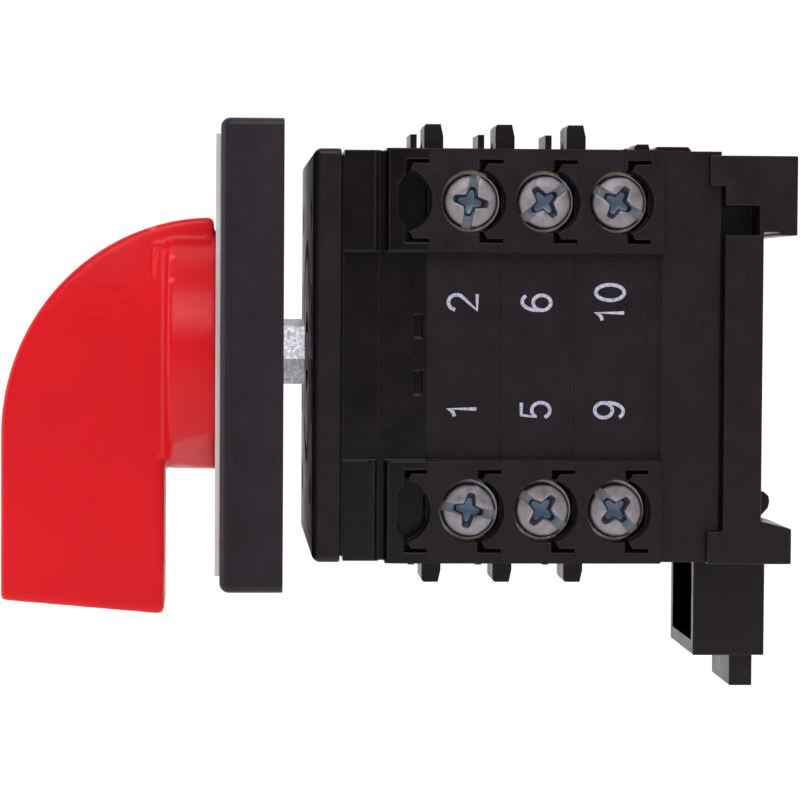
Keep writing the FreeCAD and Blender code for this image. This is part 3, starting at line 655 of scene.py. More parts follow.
def finish_tree(tree, entry, leave, geometry):
    """End a tree in Realize Instances and Set Material."""
    realize = tree.nodes.new("GeometryNodeRealizeInstances")
    paint = tree.nodes.new("GeometryNodeSetMaterial")
    tree.links.new(geometry, realize.inputs["Geometry"])
    tree.links.new(realize.outputs["Geometry"], paint.inputs["Geometry"])
    tree.links.new(entry.outputs["Finish"], paint.inputs["Material"])
    tree.links.new(paint.outputs["Geometry"], leave.inputs["Geometry"])
    return tree


def run_tree(piece, tree, values):
    """Run a tree on a piece with inputs by name, and make the result a plain mesh."""
    modifier = piece.modifiers.new(tree.name, "NODES")
    modifier.node_group = tree
    for item in tree.interface.items_tree:
        if item.in_out == "INPUT" and item.name in values:
            modifier[item.identifier] = values[item.name]
    return baked(piece)


def placing_tree():
    """Stands copies of an object on points, each turned about X by its own angle."""
    tree, entry, leave = node_tree("place_copies", [
        ("Copy", "NodeSocketObject", None), ("Finish", "NodeSocketMaterial", None)])
    info = tree.nodes.new("GeometryNodeObjectInfo")
    turn = tree.nodes.new("GeometryNodeInputNamedAttribute")
    turn.data_type = "FLOAT_VECTOR"
    turn.inputs["Name"].default_value = "turn"
    points = tree.nodes.new("GeometryNodeMeshToPoints")
    copies = tree.nodes.new("GeometryNodeInstanceOnPoints")
    rotation = tree.nodes.new("FunctionNodeEulerToRotation")
    tree.links.new(entry.outputs["Copy"], info.inputs["Object"])
    tree.links.new(entry.outputs["Geometry"], points.inputs["Mesh"])
    tree.links.new(points.outputs["Points"], copies.inputs["Points"])
    tree.links.new(info.outputs["Geometry"], copies.inputs["Instance"])
    tree.links.new(turn.outputs["Attribute"], rotation.inputs["Euler"])
    tree.links.new(rotation.outputs["Rotation"], copies.inputs["Rotation"])
    return finish_tree(tree, entry, leave, copies.outputs["Instances"])


def coil_tree():
    """A compression spring along Z, from its radius, wire, height and turns."""
    tree, entry, leave = node_tree("coil_spring", [
        ("Radius", "NodeSocketFloat", 2.0 * MM), ("Wire", "NodeSocketFloat", 0.2 * MM),
        ("Height", "NodeSocketFloat", 6.0 * MM), ("Turns", "NodeSocketFloat", 6.0),
        ("Finish", "NodeSocketMaterial", None)])
    spiral = tree.nodes.new("GeometryNodeCurveSpiral")
    spiral.inputs["Resolution"].default_value = 20
    section = tree.nodes.new("GeometryNodeCurvePrimitiveCircle")
    section.inputs["Resolution"].default_value = 8
    sweep = tree.nodes.new("GeometryNodeCurveToMesh")
    sweep.inputs["Fill Caps"].default_value = True
    tree.links.new(entry.outputs["Turns"], spiral.inputs["Rotations"])
    tree.links.new(entry.outputs["Radius"], spiral.inputs["Start Radius"])
    tree.links.new(entry.outputs["Radius"], spiral.inputs["End Radius"])
    tree.links.new(entry.outputs["Height"], spiral.inputs["Height"])
    tree.links.new(entry.outputs["Wire"], section.inputs["Radius"])
    tree.links.new(spiral.outputs["Curve"], sweep.inputs["Curve"])
    tree.links.new(section.outputs["Curve"], sweep.inputs["Profile Curve"])
    return finish_tree(tree, entry, leave, sweep.outputs["Mesh"])


def points_object(name, spots):
    """A mesh of loose points with a turn, given as (place, euler angles)."""
    mesh = bpy.data.meshes.new(name)
    mesh.from_pydata([spot for spot, _turn in spots], [], [])
    attribute = mesh.attributes.new("turn", "FLOAT_VECTOR", "POINT")
    for item, (_spot, turn) in zip(attribute.data, spots):
        item.vector = turn
    return add_object(name, mesh)


# ------------------------------------------------------------------ handle

# Places along the shaft and up from it, in front of and below the panel face's centre.
HUB_FRONT = -18.74 * MM
GRIP_DEEP = 21.8 * MM
CREST_GAP = 0.9 * MM
END_RISE = 1.9 * MM
KNEE = -12.0 * MM
LEAN_START = 3.0 * MM
LEAN_REACH = 12.0 * MM
BLADE_MIDDLE = (-27.0 * MM, -9.0 * MM)
BORE_RADIUS = 3.6 * MM
BORE_DEEP = 16.0 * MM
SOCKET_HALF = 5.0 * MM


def rounded_corner(before, corner, after, radius, steps=5):
    """Points that round one corner of an outline."""
    inward = (before - corner).normalized()
    onward = (after - corner).normalized()
    half = inward.angle(onward) / 2.0
    reach = radius / math.tan(half)
    centre = corner + (inward + onward).normalized() * (radius / math.sin(half))
    start = (corner + inward * reach - centre).normalized()
    end = (corner + onward * reach - centre).normalized()
    return [centre + start.slerp(end, step / steps) * radius for step in range(steps + 1)]


def blade_outline(handle):
    """The grip's outline in (y, z), anticlockwise from the crest: shoulder, front, end and rear."""
    front = low("knob").y
    rear = front + GRIP_DEEP
    crest = high("legend_plate").y - CREST_GAP
    base = low("knob").z
    centre_z = high("knob").z - handle.arc_radius
    arc = []
    for step in range(41):
        angle = math.pi / 2.0 * (1.0 + step / 40)
        arc.append(Vector((crest + (crest - front) * math.cos(angle),
                           centre_z + handle.arc_radius * math.sin(angle))))
    heel = Vector((front, base + END_RISE))
    toe = Vector((rear, base))
    knee = Vector((rear, KNEE))
    back = Vector((crest, KNEE))
    round_end = handle.rounding
    points = arc[1:]
    points += rounded_corner(arc[-1], heel, toe, round_end)
    points += rounded_corner(heel, toe, knee, round_end)
    points += [knee, back]
    points += rounded_corner(back, arc[0], arc[1], round_end * 0.8)
    return points


def grip_blade(handle):
    """The grip: soft outer edges, and sides that lean in a little above the axis."""
    outline = blade_outline(handle)
    count = len(outline)
    normals = []
    for index in range(count):
        along = outline[(index + 1) % count] - outline[index - 1]
        normals.append(Vector((along.y, -along.x)).normalized() * -1.0)
    radius = handle.rounding
    middle = Vector(BLADE_MIDDLE)
    rings = []
    for step in range(6):
        angle = math.pi / 2.0 * step / 5
        inset = radius * (1.0 - math.cos(angle))
        rings.append((1.0, inset, radius * (1.0 - math.sin(angle))))
    rings += [(share / 9.0, radius, 0.0) for share in range(8, 0, -1)]
    work = bmesh.new()
    layers = []
    for sign in SIDES:
        side = []
        for share, inset, back in rings:
            ring = []
            for point, normal in zip(outline, normals):
                inner = point + normal * inset
                spot = middle + (inner - middle) * share
                lean = max(0.0, spot.y - LEAN_START)
                half = handle.grip_half - handle.draft * min(1.0, (lean / LEAN_REACH) ** 1.5)
                ring.append(work.verts.new((sign * (half - back), spot.x, spot.y)))
            side.append(ring)
        layers.append(side)
    for side in layers:
        for outer, inner in zip(side, side[1:]):
            for index in range(count):
                after = (index + 1) % count
                work.faces.new((outer[index], outer[after], inner[after], inner[index]))
        work.faces.new(side[-1])
    for index in range(count):
        after = (index + 1) % count
        work.faces.new((layers[0][0][index], layers[0][0][after], layers[1][0][after], layers[1][0][index]))
    bmesh.ops.triangulate(work, faces=work.faces)
    bmesh.ops.recalc_face_normals(work, faces=work.faces)
    return from_bmesh("grip_blade", work)


def turned_along_y(name, points, start, steps=128):
    """A lathed solid about the Y axis, its profile's zero height at the given place, growing forwards."""
    piece = from_bmesh(name, lathe(points, steps))
    return settle(piece, Matrix.Translation((0.0, start, 0.0)) @ Matrix.Rotation(math.radians(90.0), 4, "X"))


def facet_cutter(sign):
    """A slab whose face flattens the hub's lower flank, rising towards the rear."""
    corners = [Vector((10.6, -18.7, -12.0)), Vector((12.25, -12.0, -10.3)), Vector((4.0, -15.35, -15.49))]
    first, second, third = [Vector((c.x * sign, c.y, c.z)) * MM for c in corners]
    normal = (second - first).cross(third - first).normalized()
    if normal.z > 0.0:
        normal = -normal
    slab = from_bmesh("slab", prism(square(20 * MM), 20 * MM))
    turn = normal.to_track_quat("Z", "Y").to_matrix().to_4x4()
    return settle(slab, Matrix.Translation(first) @ turn)


def grip_hub(handle):
    """The handle's hub: a drafted disc with a soft rim, its lower flanks flattened."""
    radius = high("knob").x
    rear = high("knob").y
    deep = rear - HUB_FRONT
    rim = 0.55 * MM
    points = [(0.0, 0.0), (radius, 0.0), (radius - 0.1 * MM, deep - rim)]
    for step in range(1, 6):
        angle = math.pi / 2.0 * step / 5
        points.append((radius - 0.1 * MM - rim + rim * math.cos(angle), deep - rim + rim * math.sin(angle)))
    points.append((0.0, deep))
    hub = turned_along_y("grip_hub", points, rear)
    for sign in SIDES:
        combine(hub, facet_cutter(sign), "DIFFERENCE")
    return hub


def grip_fillet(handle, sign):
    """The hollow fillet between one side of the grip and the hub's front."""
    radius = handle.fillet
    wall = handle.grip_half
    front = HUB_FRONT
    outline = [(wall - 1.0 * MM, front + 0.6 * MM), (wall - 1.0 * MM, front - radius)]
    for step in range(9):
        angle = math.pi - math.pi / 2.0 * step / 8
        outline.append((wall + radius + radius * math.cos(angle), front - radius + radius * math.sin(angle)))
    outline.append((wall + radius, front + 0.6 * MM))
    if sign < 0:
        outline = [(-x, y) for x, y in reversed(outline)]
    bar = from_bmesh("fillet", prism(outline, 40.0 * MM))
    settle(bar, Matrix.Translation((0.0, 0.0, -20.0 * MM)))
    limit = high("knob").x - 0.65 * MM
    drum_deep = 10.0 * MM
    drum = turned_along_y("drum", [(0.0, 0.0), (limit, 0.0), (limit, drum_deep), (0.0, drum_deep)],
                          -14.0 * MM)
    combine(bar, drum, "INTERSECT")
    combine(bar, facet_cutter(sign), "DIFFERENCE")
    return bar


def blend_corners(piece, cell, passes):
    """Melt a solid's corners into each other as a moulding's are: even cells, then a few smoothing passes."""
    even = piece.modifiers.new("even", "REMESH")
    even.mode = "VOXEL"
    even.voxel_size = cell
    even.use_smooth_shade = True
    smooth = piece.modifiers.new("melt", "SMOOTH")
    smooth.factor = 0.5
    smooth.iterations = passes
    return baked(piece)


class SWITCH_OT_handle(bpy.types.Operator):
    """Red pistol-grip handle with its hub, its bore and the screw cap in its front"""

    bl_idname = "switch.handle"
    bl_label = "Handle"

    def execute(self, context):
        handle = context.scene.switch_handle
        knob = combine(grip_blade(handle), grip_hub(handle), "UNION")
        for sign in SIDES:
            combine(knob, grip_fillet(handle, sign), "UNION")
        profile = [(0.0, 0.0), (BORE_RADIUS, 0.0), (BORE_RADIUS, BORE_DEEP), (0.0, BORE_DEEP)]
        combine(knob, turned_along_y("bore", profile, low("knob_screw").y, 64), "DIFFERENCE")
        socket = from_bmesh("socket", prism(square(SOCKET_HALF), BORE_DEEP))
        settle(socket, Matrix.Translation((0.0, high("knob").y + 1.0 * MM, 0.0))
               @ Matrix.Rotation(math.radians(90.0), 4, "X"))
        combine(knob, socket, "DIFFERENCE")
        blend_corners(knob, handle.blend_cell, handle.blend_passes)
        knob.name = "handle_grip"
        dress(knob, materials["red"])
        stand_for(knob, "rotor", "handle_red", "knob")

        box_low = low("knob_screw_cap")
        box_high = high("knob_screw_cap")
        depth = box_high.y - box_low.y
        radius = box_high.x
        cap = from_bmesh("screw_cap", lathe([
            (0.0, 0.0), (radius, 0.0), (radius, depth - 0.5 * MM), (radius - 0.15 * MM, depth - 0.2 * MM),
            (radius - 0.45 * MM, depth - 0.05 * MM), (radius - 1.2 * MM, depth), (0.0, depth)], 48))
        settle(cap, Matrix.Translation((0.0, box_high.y, 0.0)) @ Matrix.Rotation(math.radians(90.0), 4, "X"))
        smooth_by_angle(cap.data)
        dress(cap, materials["red"])
        stand_for(cap, "rotor", "handle_red", "knob_screw_cap")
        for node in ("knob_insert", "knob_screw", "shaft", "shaft_nut"):
            keep_node(node, materials["plated" if node != "shaft" else "steel"])
        keep_node("star_wheel", materials["natural"])
        for deck in DECKS:
            keep_node(f"deck_{deck}_cam", materials["natural"])
        return {"FINISHED"}


# ------------------------------------------------------------------ housings

HOUSINGS = {
    "escutcheon_plate": ("escutcheon", "plate", "plate_black", BODY),
    "front_plate": ("front_cover", "housing", "housing_black", BODY),
    "index_housing": ("index_case", "index", "index_black", BODY),
    "deck_1_housing": ("deck_1_case", "deck", "housing_black", BODY),
    "deck_2_housing": ("deck_2_case", "deck", "housing_black", BODY),
    "deck_3_housing": ("deck_3_case", "deck", "housing_black", BODY),
    "end_cap": ("rear_cap", "housing", "housing_black", BODY),
    "rail_foot": ("foot_case", "housing", "housing_black", BODY),
    "rail_latch": ("latch_slider", "housing", "housing_black", "latch"),
}

# Their ribs and notches stand too close for cut edges; their finish shades them as rounded.
CLOSE_RIBBED = ("index_housing", "deck_1_housing", "deck_2_housing", "deck_3_housing", "end_cap")


class SWITCH_OT_housings(bpy.types.Operator):
    """Moulded shells: escutcheon, front plate, index housing, decks, end cap, foot and latch"""

    bl_idname = "switch.housings"
    bl_label = "Housings"

    def execute(self, context):
        plastic = context.scene.switch_plastic
        for node, (name, finish, slot, body) in HOUSINGS.items():
            shell = merged_copy(node, name)
            if node in CLOSE_RIBBED:
                shaded(shell, 30.0)
            else:
                soften(shell, plastic.edge)
            dress(shell, materials[finish])
            stand_for(shell, body, slot, node)
        keep_node("panel_seal", materials["seal"])
        return {"FINISHED"}


# ------------------------------------------------------------------ terminals

def screw_prototype(screw):
    """One terminal screw along +X, its head's face at x = 0: pan head, straight slot and cross recess."""
    radius = screw.head_radius
    height = screw.head_height
    points = [(0.0, -height), (radius - 0.1 * MM, -height), (radius, -height + 0.12 * MM),
              (radius, -0.62 * MM)]
    for step in range(1, 6):
        angle = (math.pi / 2.0) * step / 5
        points.append((radius - 0.5 * MM + 0.5 * MM * math.cos(angle),
                       -0.62 * MM + 0.42 * MM * math.sin(angle)))
    points += [(radius * 0.62, -0.07 * MM), (radius * 0.3, 0.0), (0.0, 0.0)]
    head = from_bmesh("screw_head", lathe(points, 72))
    reach = radius + 1.0 * MM
    half = screw.slot_width / 2.0
    slot = from_bmesh("slot", prism([(-reach, -half), (reach, -half), (reach, half), (-reach, half)],
                                    2.0 * MM))
    settle(slot, Matrix.Translation((0.0, 0.0, -0.85 * MM)))
    combine(head, slot, "DIFFERENCE")
    arm = screw.cross_reach
    wide = screw.cross_width / 2.0
    inner = wide * 1.55
    outline = []
    for quarter in range(4):
        angle = quarter * math.pi / 2.0
        for x, y in ((inner, -inner), (arm - 0.25 * MM, -wide), (arm, -wide * 0.55), (arm, wide * 0.55),
                     (arm - 0.25 * MM, wide)):
            outline.append((x * math.cos(angle) - y * math.sin(angle),
                            x * math.sin(angle) + y * math.cos(angle)))
    cross = prism(outline, 2.6 * MM)
    for vertex in cross.verts:
        if vertex.co.z < 0.1 * MM:
            vertex.co.x *= 0.55
            vertex.co.y *= 0.55
    recess = from_bmesh("cross", cross)
    settle(recess, Matrix.Translation((0.0, 0.0, -1.75 * MM)))
    combine(head, recess, "DIFFERENCE")
    bevel = head.modifiers.new("burr", "BEVEL")
    bevel.width = 0.07 * MM
    bevel.segments = 2
    bevel.limit_method = "ANGLE"
    bevel.angle_limit = math.radians(35.0)
    baked(head)
    shank = from_bmesh("shank", threaded_shank(1.7 * MM, 10.6 * MM))
    settle(shank, Matrix.Translation((0.0, 0.0, -height - 10.55 * MM)))
    whole = joined("screw_prototype", [head, shank])
    ring = whole.data.attributes.new("ring", "FLOAT", "POINT")
    recessed = whole.data.attributes.new("recess", "FLOAT", "POINT")
    for item, deep, vertex in zip(ring.data, recessed.data, whole.data.vertices):
        away = math.hypot(vertex.co.x, vertex.co.y)
        item.value = away / MM
        inside = away < arm + 0.1 * MM and vertex.co.z < -0.30 * MM and vertex.co.z > -height
        deep.value = 1.0 if inside else 0.0
    settle(whole, Matrix.Rotation(math.radians(90.0), 4, "Y"))
    smooth_by_angle(whole.data, 35.0)
    return whole


def threaded_shank(radius, length):
    """A screw's shank with rolled thread ridges."""
    pitch = 0.6 * MM
    points = [(0.0, 0.0), (radius * 0.7, 0.0)]
    count = int(length / pitch)
    for step in range(count):
        start = step * pitch
        points.append((radius * 0.84, start + 0.1 * pitch))
        points.append((radius, start + 0.5 * pitch))
    points.append((radius * 0.84, length))
    points.append((0.0, length))
    return lathe(points, 24)


# How each screw happens to be left turned, in degrees, deck by deck, and how the far side's differ.
TOP_ANGLES = (80.0, 37.0, -30.0)
LOW_ANGLES = (-10.0, -38.0, -47.0)
NEAR_TURN = 90.0
FAR_TURN = 157.0


class SWITCH_OT_terminals(bpy.types.Operator):
    """Terminal screws with slot and cross recess, clamp washers, strips and contacts"""

    bl_idname = "switch.terminals"
    bl_label = "Terminals"

    def execute(self, context):
        screw = screw_prototype(context.scene.switch_screws)
        spots = []
        for deck in DECKS:
            node = f"deck_{deck}_terminal_screws"
            middle_y = (low(node).y + high(node).y) / 2.0
            line = high(node).z - context.scene.switch_screws.head_radius
            face = high(node).x
            for side in SIDES:
                for up in SIDES:
                    angle = (TOP_ANGLES if up > 0 else LOW_ANGLES)[deck - 1]
                    angle = math.radians(angle + (NEAR_TURN if side > 0 else FAR_TURN))
                    turn = (angle, 0.0, 0.0 if side > 0 else math.pi)
                    spots.append(((face * side, middle_y, line * up), turn))
        points = points_object("terminal_screws", spots)
        run_tree(points, placing_tree(), {"Copy": screw, "Finish": materials["zinc"]})
        bpy.data.objects.remove(screw)
        stand_for(points, BODY, "zinc_steel", *[f"deck_{deck}_terminal_screws" for deck in DECKS])
        for deck in DECKS:
            keep_node(f"deck_{deck}_clamp_washers", materials["plated"])
            keep_node(f"deck_{deck}_terminal_strips", materials["brass"])
            for side in ("near", "far"):
                keep_node(f"deck_{deck}_plunger_{side}", materials["natural"])
                keep_node(f"deck_{deck}_bridge_{side}", materials["brass"])
        for node in ("tie_bolts", "foot_screws"):
            keep_node(node, materials["plated"])
        keep_node("detent_rollers", materials["steel"])
        return {"FINISHED"}


def coils(name, node, places, axis, radius, wire, turns, tree):
    """Springs between two places along an axis, joined as one piece."""
    made = []
    for centre, start, end in places:
        coil = add_object(f"{name}_coil", bpy.data.meshes.new("coil"))
        run_tree(coil, tree, {"Radius": radius - wire, "Wire": wire, "Height": abs(end - start) - 2.0 * wire,
                              "Turns": turns, "Finish": materials["wire"]})
        aim = {"x": Matrix.Rotation(math.radians(90.0), 4, "Y"), "z": Matrix.Identity(4)}[axis]
        first = min(start, end) + wire
        spot = (first, centre[0], centre[1]) if axis == "x" else (centre[0], centre[1], first)
        settle(coil, Matrix.Translation(spot) @ aim)
        made.append(coil)
    piece = joined(name, made)
    smooth_by_angle(piece.data, 60.0)
    dress(piece, materials["wire"])
    return stand_for(piece, BODY, "spring_steel", node)


class SWITCH_OT_springs(bpy.types.Operator):
    """Contact, detent and latch springs as wound wire"""

    bl_idname = "switch.springs"
    bl_label = "Springs"

    def execute(self, context):
        tree = coil_tree()
        for deck in DECKS:
            node = f"deck_{deck}_contact_springs"
            middle_y = (low(node).y + high(node).y) / 2.0
            outer = high(node).x
            inner = outer - 3.0 * MM
            places = [((middle_y, 0.0), inner * side, outer * side) for side in SIDES]
            coils(f"contact_springs_{deck}", node, places, "x", 2.4 * MM, 0.2 * MM, 4.0, tree)
        top = high("detent_springs").z
        middle_y = (low("detent_springs").y + high("detent_springs").y) / 2.0
        places = [((0.0, middle_y), (top - 7.8 * MM) * side, top * side) for side in SIDES]
        coils("index_springs", "detent_springs", places, "z", 2.4 * MM, 0.25 * MM, 8.0, tree)
        node = "latch_springs"
        middle_y = (low(node).y + high(node).y) / 2.0
        across = high(node).x - 1.5 * MM
        places = [((across * side, middle_y), low(node).z, high(node).z) for side in SIDES]
        coils("slider_springs", node, places, "z", 1.5 * MM, 0.18 * MM, 8.0, tree)
        return {"FINISHED"}


# ------------------------------------------------------------------ print and legend

def bow(centre, radii, start, end, steps=14):
    """Points along part of an ellipse, between two angles in degrees."""
    points = []
    for step in range(steps + 1):
        angle = math.radians(start + (end - start) * step / steps)
        points.append((centre[0] + radii[0] * math.cos(angle), centre[1] + radii[1] * math.sin(angle)))
    return points


def numeral_strokes(figure):
    """The strokes of a plain numeral in a cell 0.64 wide and 1 high."""
    ring = bow((0.33, 0.31), (0.26, 0.31), 0, 360, 24)
    stem = bow((0.37, 0.46), (0.30, 0.54), 183, 48)
    strokes = {
        "0": [bow((0.33, 0.5), (0.27, 0.5), 0, 360, 28)],
        "1": [[(0.10, 0.76), (0.26, 0.82), (0.36, 1.0), (0.36, 0.0)]],
        "2": [bow((0.33, 0.71), (0.26, 0.29), 170, -35) + [(0.06, 0.0), (0.62, 0.0)]],
        "3": [bow((0.31, 0.76), (0.24, 0.24), 160, -90), bow((0.31, 0.27), (0.27, 0.27), 90, -160)],
        "4": [[(0.46, 0.0), (0.46, 1.0), (0.04, 0.30), (0.64, 0.30)]],
        "5": [[(0.58, 1.0), (0.15, 1.0), (0.09, 0.50)] + bow((0.32, 0.32), (0.27, 0.32), 145, -155)],
        "6": [ring, stem],
        "7": [[(0.04, 1.0), (0.62, 1.0), (0.40, 0.62), (0.26, 0.28), (0.22, 0.0)]],
        "8": [bow((0.33, 0.76), (0.22, 0.24), 0, 360, 24), bow((0.33, 0.27), (0.27, 0.27), 0, 360, 24)],
    }
    if figure == "9":
        return [[(0.66 - x, 1.0 - y) for x, y in stroke] for stroke in strokes["6"]]
    return strokes[figure]


def lettering(name, text, height, depth, pen=0.066):
    """Numbers in round strokes, centred, reading along +X with their tops towards +Y."""
    curve = bpy.data.curves.new(name, "CURVE")
    curve.dimensions = "3D"
    curve.bevel_depth = pen * height
    curve.bevel_resolution = 2
    curve.use_fill_caps = True
    for place, figure in enumerate(text):
        for stroke in numeral_strokes(figure):
            closed = math.dist(stroke[0], stroke[-1]) < 0.001
            points = stroke[:-1] if closed else stroke
            spline = curve.splines.new("POLY")
            spline.points.add(len(points) - 1)
            spline.use_cyclic_u = closed
            for spot, (x, y) in zip(spline.points, points):
                spot.co = ((x + place * 0.74) * height, (y - 0.5) * height, 0.0, 1.0)
    made = add_object(name, curve)
    graph = bpy.context.evaluated_depsgraph_get()
    mesh = bpy.data.meshes.new_from_object(made.evaluated_get(graph))
    bpy.data.objects.remove(made)
    width = (0.66 + 0.74 * (len(text) - 1)) * height
    flat = Matrix.Diagonal((1.0, 1.0, depth / (pen * height), 1.0))
    mesh.transform(flat @ Matrix.Translation((-width / 2.0, 0.0, 0.0)))
    return add_object(name, mesh)


# The recessed band's face, where the numbers lie on it, and the thickness of the ink.
BAND_FACE = 24.1 * MM
NUMBER_PLACE = 2.6 * MM
NUMBER_RISE = 6.9 * MM
INK_DEEP = 0.02 * MM
LEGEND_ORBIT = 22.6 * MM
MARK_ORBIT = 18.0 * MM
TERMINAL_NUMBERS = {1.0: ((2, 1), (6, 5), (10, 9)), -1.0: ((4, 3), (8, 7), (12, 11))}


class SWITCH_OT_numbers(bpy.types.Operator):
    """Terminal numbers printed on the recessed band of each deck"""

    bl_idname = "switch.numbers"
    bl_label = "Terminal numbers"

    def execute(self, context):
        settings = context.scene.switch_print
        made = []
        for side, rows in TERMINAL_NUMBERS.items():
            for deck, row in zip(DECKS, rows):
                place = low(f"deck_{deck}_terminal_screws").y + NUMBER_PLACE
                for number, up in zip(row, SIDES):
                    digits = lettering("digits", str(number), settings.digit_height, INK_DEEP)
                    stand = Matrix(((0.0, 0.0, side), (0.0, -1.0, 0.0), (side, 0.0, 0.0))).to_4x4()
                    spot = Vector((BAND_FACE * side, place, NUMBER_RISE * up))
                    settle(digits, Matrix.Translation(spot) @ stand)
                    made.append(digits)
        numbers = joined("terminal_numbers", made)
        dress(numbers, materials["ink"])
        stand_for(numbers, BODY, "legend_metal")
        return {"FINISHED"}


class SWITCH_OT_legend(bpy.types.Operator):
    """Legend plate, position numbers 1, 0 and 2, and their marks"""

    bl_idname = "switch.legend"
    bl_label = "Legend"

    def execute(self, context):
        settings = context.scene.switch_print
        plate = merged_copy("legend_plate", "legend")
        shaded(plate, 30.0)
        dress(plate, materials["legend"])
        stand_for(plate, BODY, "legend_metal", "legend_plate")
        face = low("legend_plate").y
        made = []
        for text, angle in (("1", 60.0), ("0", 0.0), ("2", -60.0)):
            turned = math.radians(angle)
            for away, item in ((LEGEND_ORBIT, text), (MARK_ORBIT, None)):
                if item:
                    mark = lettering("mark", item, settings.legend_height, INK_DEEP)
                else:
                    mark = from_bmesh("tick", prism([(-0.4 * MM, -1.0 * MM), (0.4 * MM, -1.0 * MM),
                                                     (0.4 * MM, 1.0 * MM), (-0.4 * MM, 1.0 * MM)], 0.03 * MM))
                    settle(mark, Matrix.Rotation(turned, 4, "Z"))
                spot = Vector((-away * math.sin(turned), face, away * math.cos(turned)))
                settle(mark, Matrix.Translation(spot) @ Matrix.Rotation(math.radians(90.0), 4, "X"))
                made.append(mark)
        marks = joined("legend_marks", made)
        dress(marks, materials["black_ink"])
        stand_for(marks, BODY, "housing_black")
        return {"FINISHED"}


# ------------------------------------------------------------------ stage

# The width of a full-frame sensor in millimetres, as Blender takes it, and half the floor's side.
SENSOR_WIDTH = 36.0
FLOOR_HALF = 4.0


def area_light(name, place, target, size, power, colour=(1.0, 1.0, 1.0)):
    """A soft box light aimed at a target."""
    data = bpy.data.lights.new(name, "AREA")
    data.shape = "RECTANGLE"
    data.size = size[0]
    data.size_y = size[1]
    data.energy = power
    data.color = colour
    lamp = bpy.data.objects.new(name, data)
    bpy.context.scene.collection.objects.link(lamp)
    lamp.location = place
    aim = Vector(target) - Vector(place)
    lamp.rotation_euler = aim.to_track_quat("-Z", "Y").to_euler()
    return lamp


def pale_surround(stage):
    """A surround that is white behind the switch and dimmer towards the camera."""
    world = bpy.data.worlds.new("surround")
    world.use_nodes = True
    tree = world.node_tree
    background = tree.nodes["Background"]
    place = tree.nodes.new("ShaderNodeTexCoord")
    split = tree.nodes.new("ShaderNodeSeparateXYZ")
    tree.links.new(place.outputs["Generated"], split.inputs["Vector"])
    level = spread(tree, split.outputs["X"], stage.sky, stage.front_sky, (-0.25, 0.45))
    seen = tree.nodes.new("ShaderNodeLightPath")
    shown = tree.nodes.new("ShaderNodeMix")
    tree.links.new(seen.outputs["Is Camera Ray"], shown.inputs["Factor"])
    tree.links.new(level, shown.inputs["A"])
    shown.inputs["B"].default_value = stage.sky
    tree.links.new(shown.outputs["Result"], background.inputs["Strength"])
    background.inputs["Color"].default_value = (1.0, 1.0, 1.0, 1.0)
    return world


def aimed_camera(stage):
    """The camera, looking at the switch's side from a little in front of it."""
    data = bpy.data.cameras.new("camera")
    data.lens = stage.focal_length
    data.sensor_width = SENSOR_WIDTH
    camera = bpy.data.objects.new("camera", data)
    bpy.context.scene.collection.objects.link(camera)
    camera.location = (stage.camera_distance, stage.camera_side, stage.camera_height)
    level = math.cos(stage.camera_pitch)
    forward = Vector((-math.cos(stage.camera_yaw) * level, math.sin(stage.camera_yaw) * level,
                      -math.sin(stage.camera_pitch)))
    aim = forward.to_track_quat("-Z", "Y").to_matrix().to_4x4()
    roll = Matrix.Rotation(stage.camera_roll, 4, "Z")
    camera.rotation_euler = (aim @ roll).to_euler()
    return camera


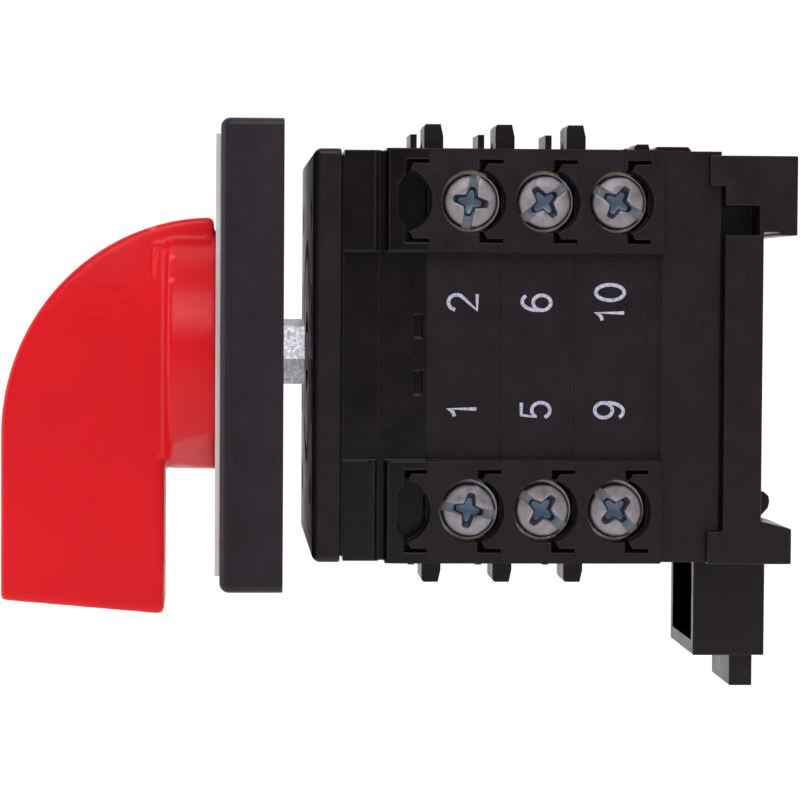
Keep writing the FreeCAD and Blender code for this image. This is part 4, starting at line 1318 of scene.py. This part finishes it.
class SWITCH_OT_stage(bpy.types.Operator):
    """Pale floor, soft studio light and the camera"""

    bl_idname = "switch.stage"
    bl_label = "Stage"

    def execute(self, context):
        stage = context.scene.switch_stage
        scene = context.scene
        ground = CAD_BOX[0][2] - stage.floor_drop
        floor = add_object("floor", bpy.data.meshes.new("floor"))
        corners = [(x * FLOOR_HALF, y * FLOOR_HALF, ground) for x, y in ((-1, -1), (1, -1), (1, 1), (-1, 1))]
        floor.data.from_pydata(corners, [], [(0, 1, 2, 3)])
        dress(floor, materials["card"])
        scene.world = pale_surround(stage)

        key = stage.key_power
        middle = (0.0, 0.01, 0.0)
        area_light("key", (0.42, -0.03, 0.36), middle, (0.35, 0.35), key, (1.0, 0.985, 0.99))
        area_light("side", (0.10, -0.60, 0.12), middle, (0.35, 0.50), key * 0.6, (1.0, 0.96, 0.98))
        area_light("rear", (0.35, 0.45, 0.25), middle, (0.40, 0.40), key * 0.25)

        scene.camera = aimed_camera(stage)
        scene.view_settings.view_transform = "Standard"
        return {"FINISHED"}


# ------------------------------------------------------------------ panel and registration

class SWITCH_PT_sidebar(bpy.types.Panel):
    """Sidebar panel that lists the switch's pieces and their settings"""

    bl_idname = "SWITCH_PT_sidebar"
    bl_label = "Rotary Changeover Switch"
    bl_space_type = "VIEW_3D"
    bl_region_type = "UI"
    bl_category = "Switch"

    def draw(self, context):
        layout = self.layout
        for operator in OPERATORS:
            layout.operator(operator.bl_idname)
        for name, group in SETTINGS.items():
            column = layout.column(align=True)
            column.label(text=group.__doc__)
            for prop in group.__annotations__:
                column.prop(getattr(context.scene, name), prop)


OPERATORS = (SWITCH_OT_handle, SWITCH_OT_housings, SWITCH_OT_terminals, SWITCH_OT_springs,
             SWITCH_OT_numbers, SWITCH_OT_legend, SWITCH_OT_stage)
SETTINGS = {
    "switch_plastic": SwitchPlasticSettings,
    "switch_handle": SwitchHandleSettings,
    "switch_screws": SwitchScrewSettings,
    "switch_print": SwitchPrintSettings,
    "switch_stage": SwitchStageSettings,
}


def register():
    """Register the settings, the operators and the panel."""
    for name, group in SETTINGS.items():
        bpy.utils.register_class(group)
        setattr(bpy.types.Scene, name, bpy.props.PointerProperty(type=group))
    for operator in OPERATORS:
        bpy.utils.register_class(operator)
    bpy.utils.register_class(SWITCH_PT_sidebar)


def unregister():
    """Take everything off again."""
    bpy.utils.unregister_class(SWITCH_PT_sidebar)
    for operator in reversed(OPERATORS):
        bpy.utils.unregister_class(operator)
    for name, group in SETTINGS.items():
        delattr(bpy.types.Scene, name)
        bpy.utils.unregister_class(group)


def main():
    """Build everything in order."""
    register()
    make_materials(bpy.context.scene.switch_plastic, bpy.context.scene.switch_print)
    bpy.ops.switch.housings()
    bpy.ops.switch.handle()
    bpy.ops.switch.terminals()
    bpy.ops.switch.springs()
    bpy.ops.switch.numbers()
    bpy.ops.switch.legend()
    bpy.ops.switch.stage()


if __name__ == "__main__":
    main()
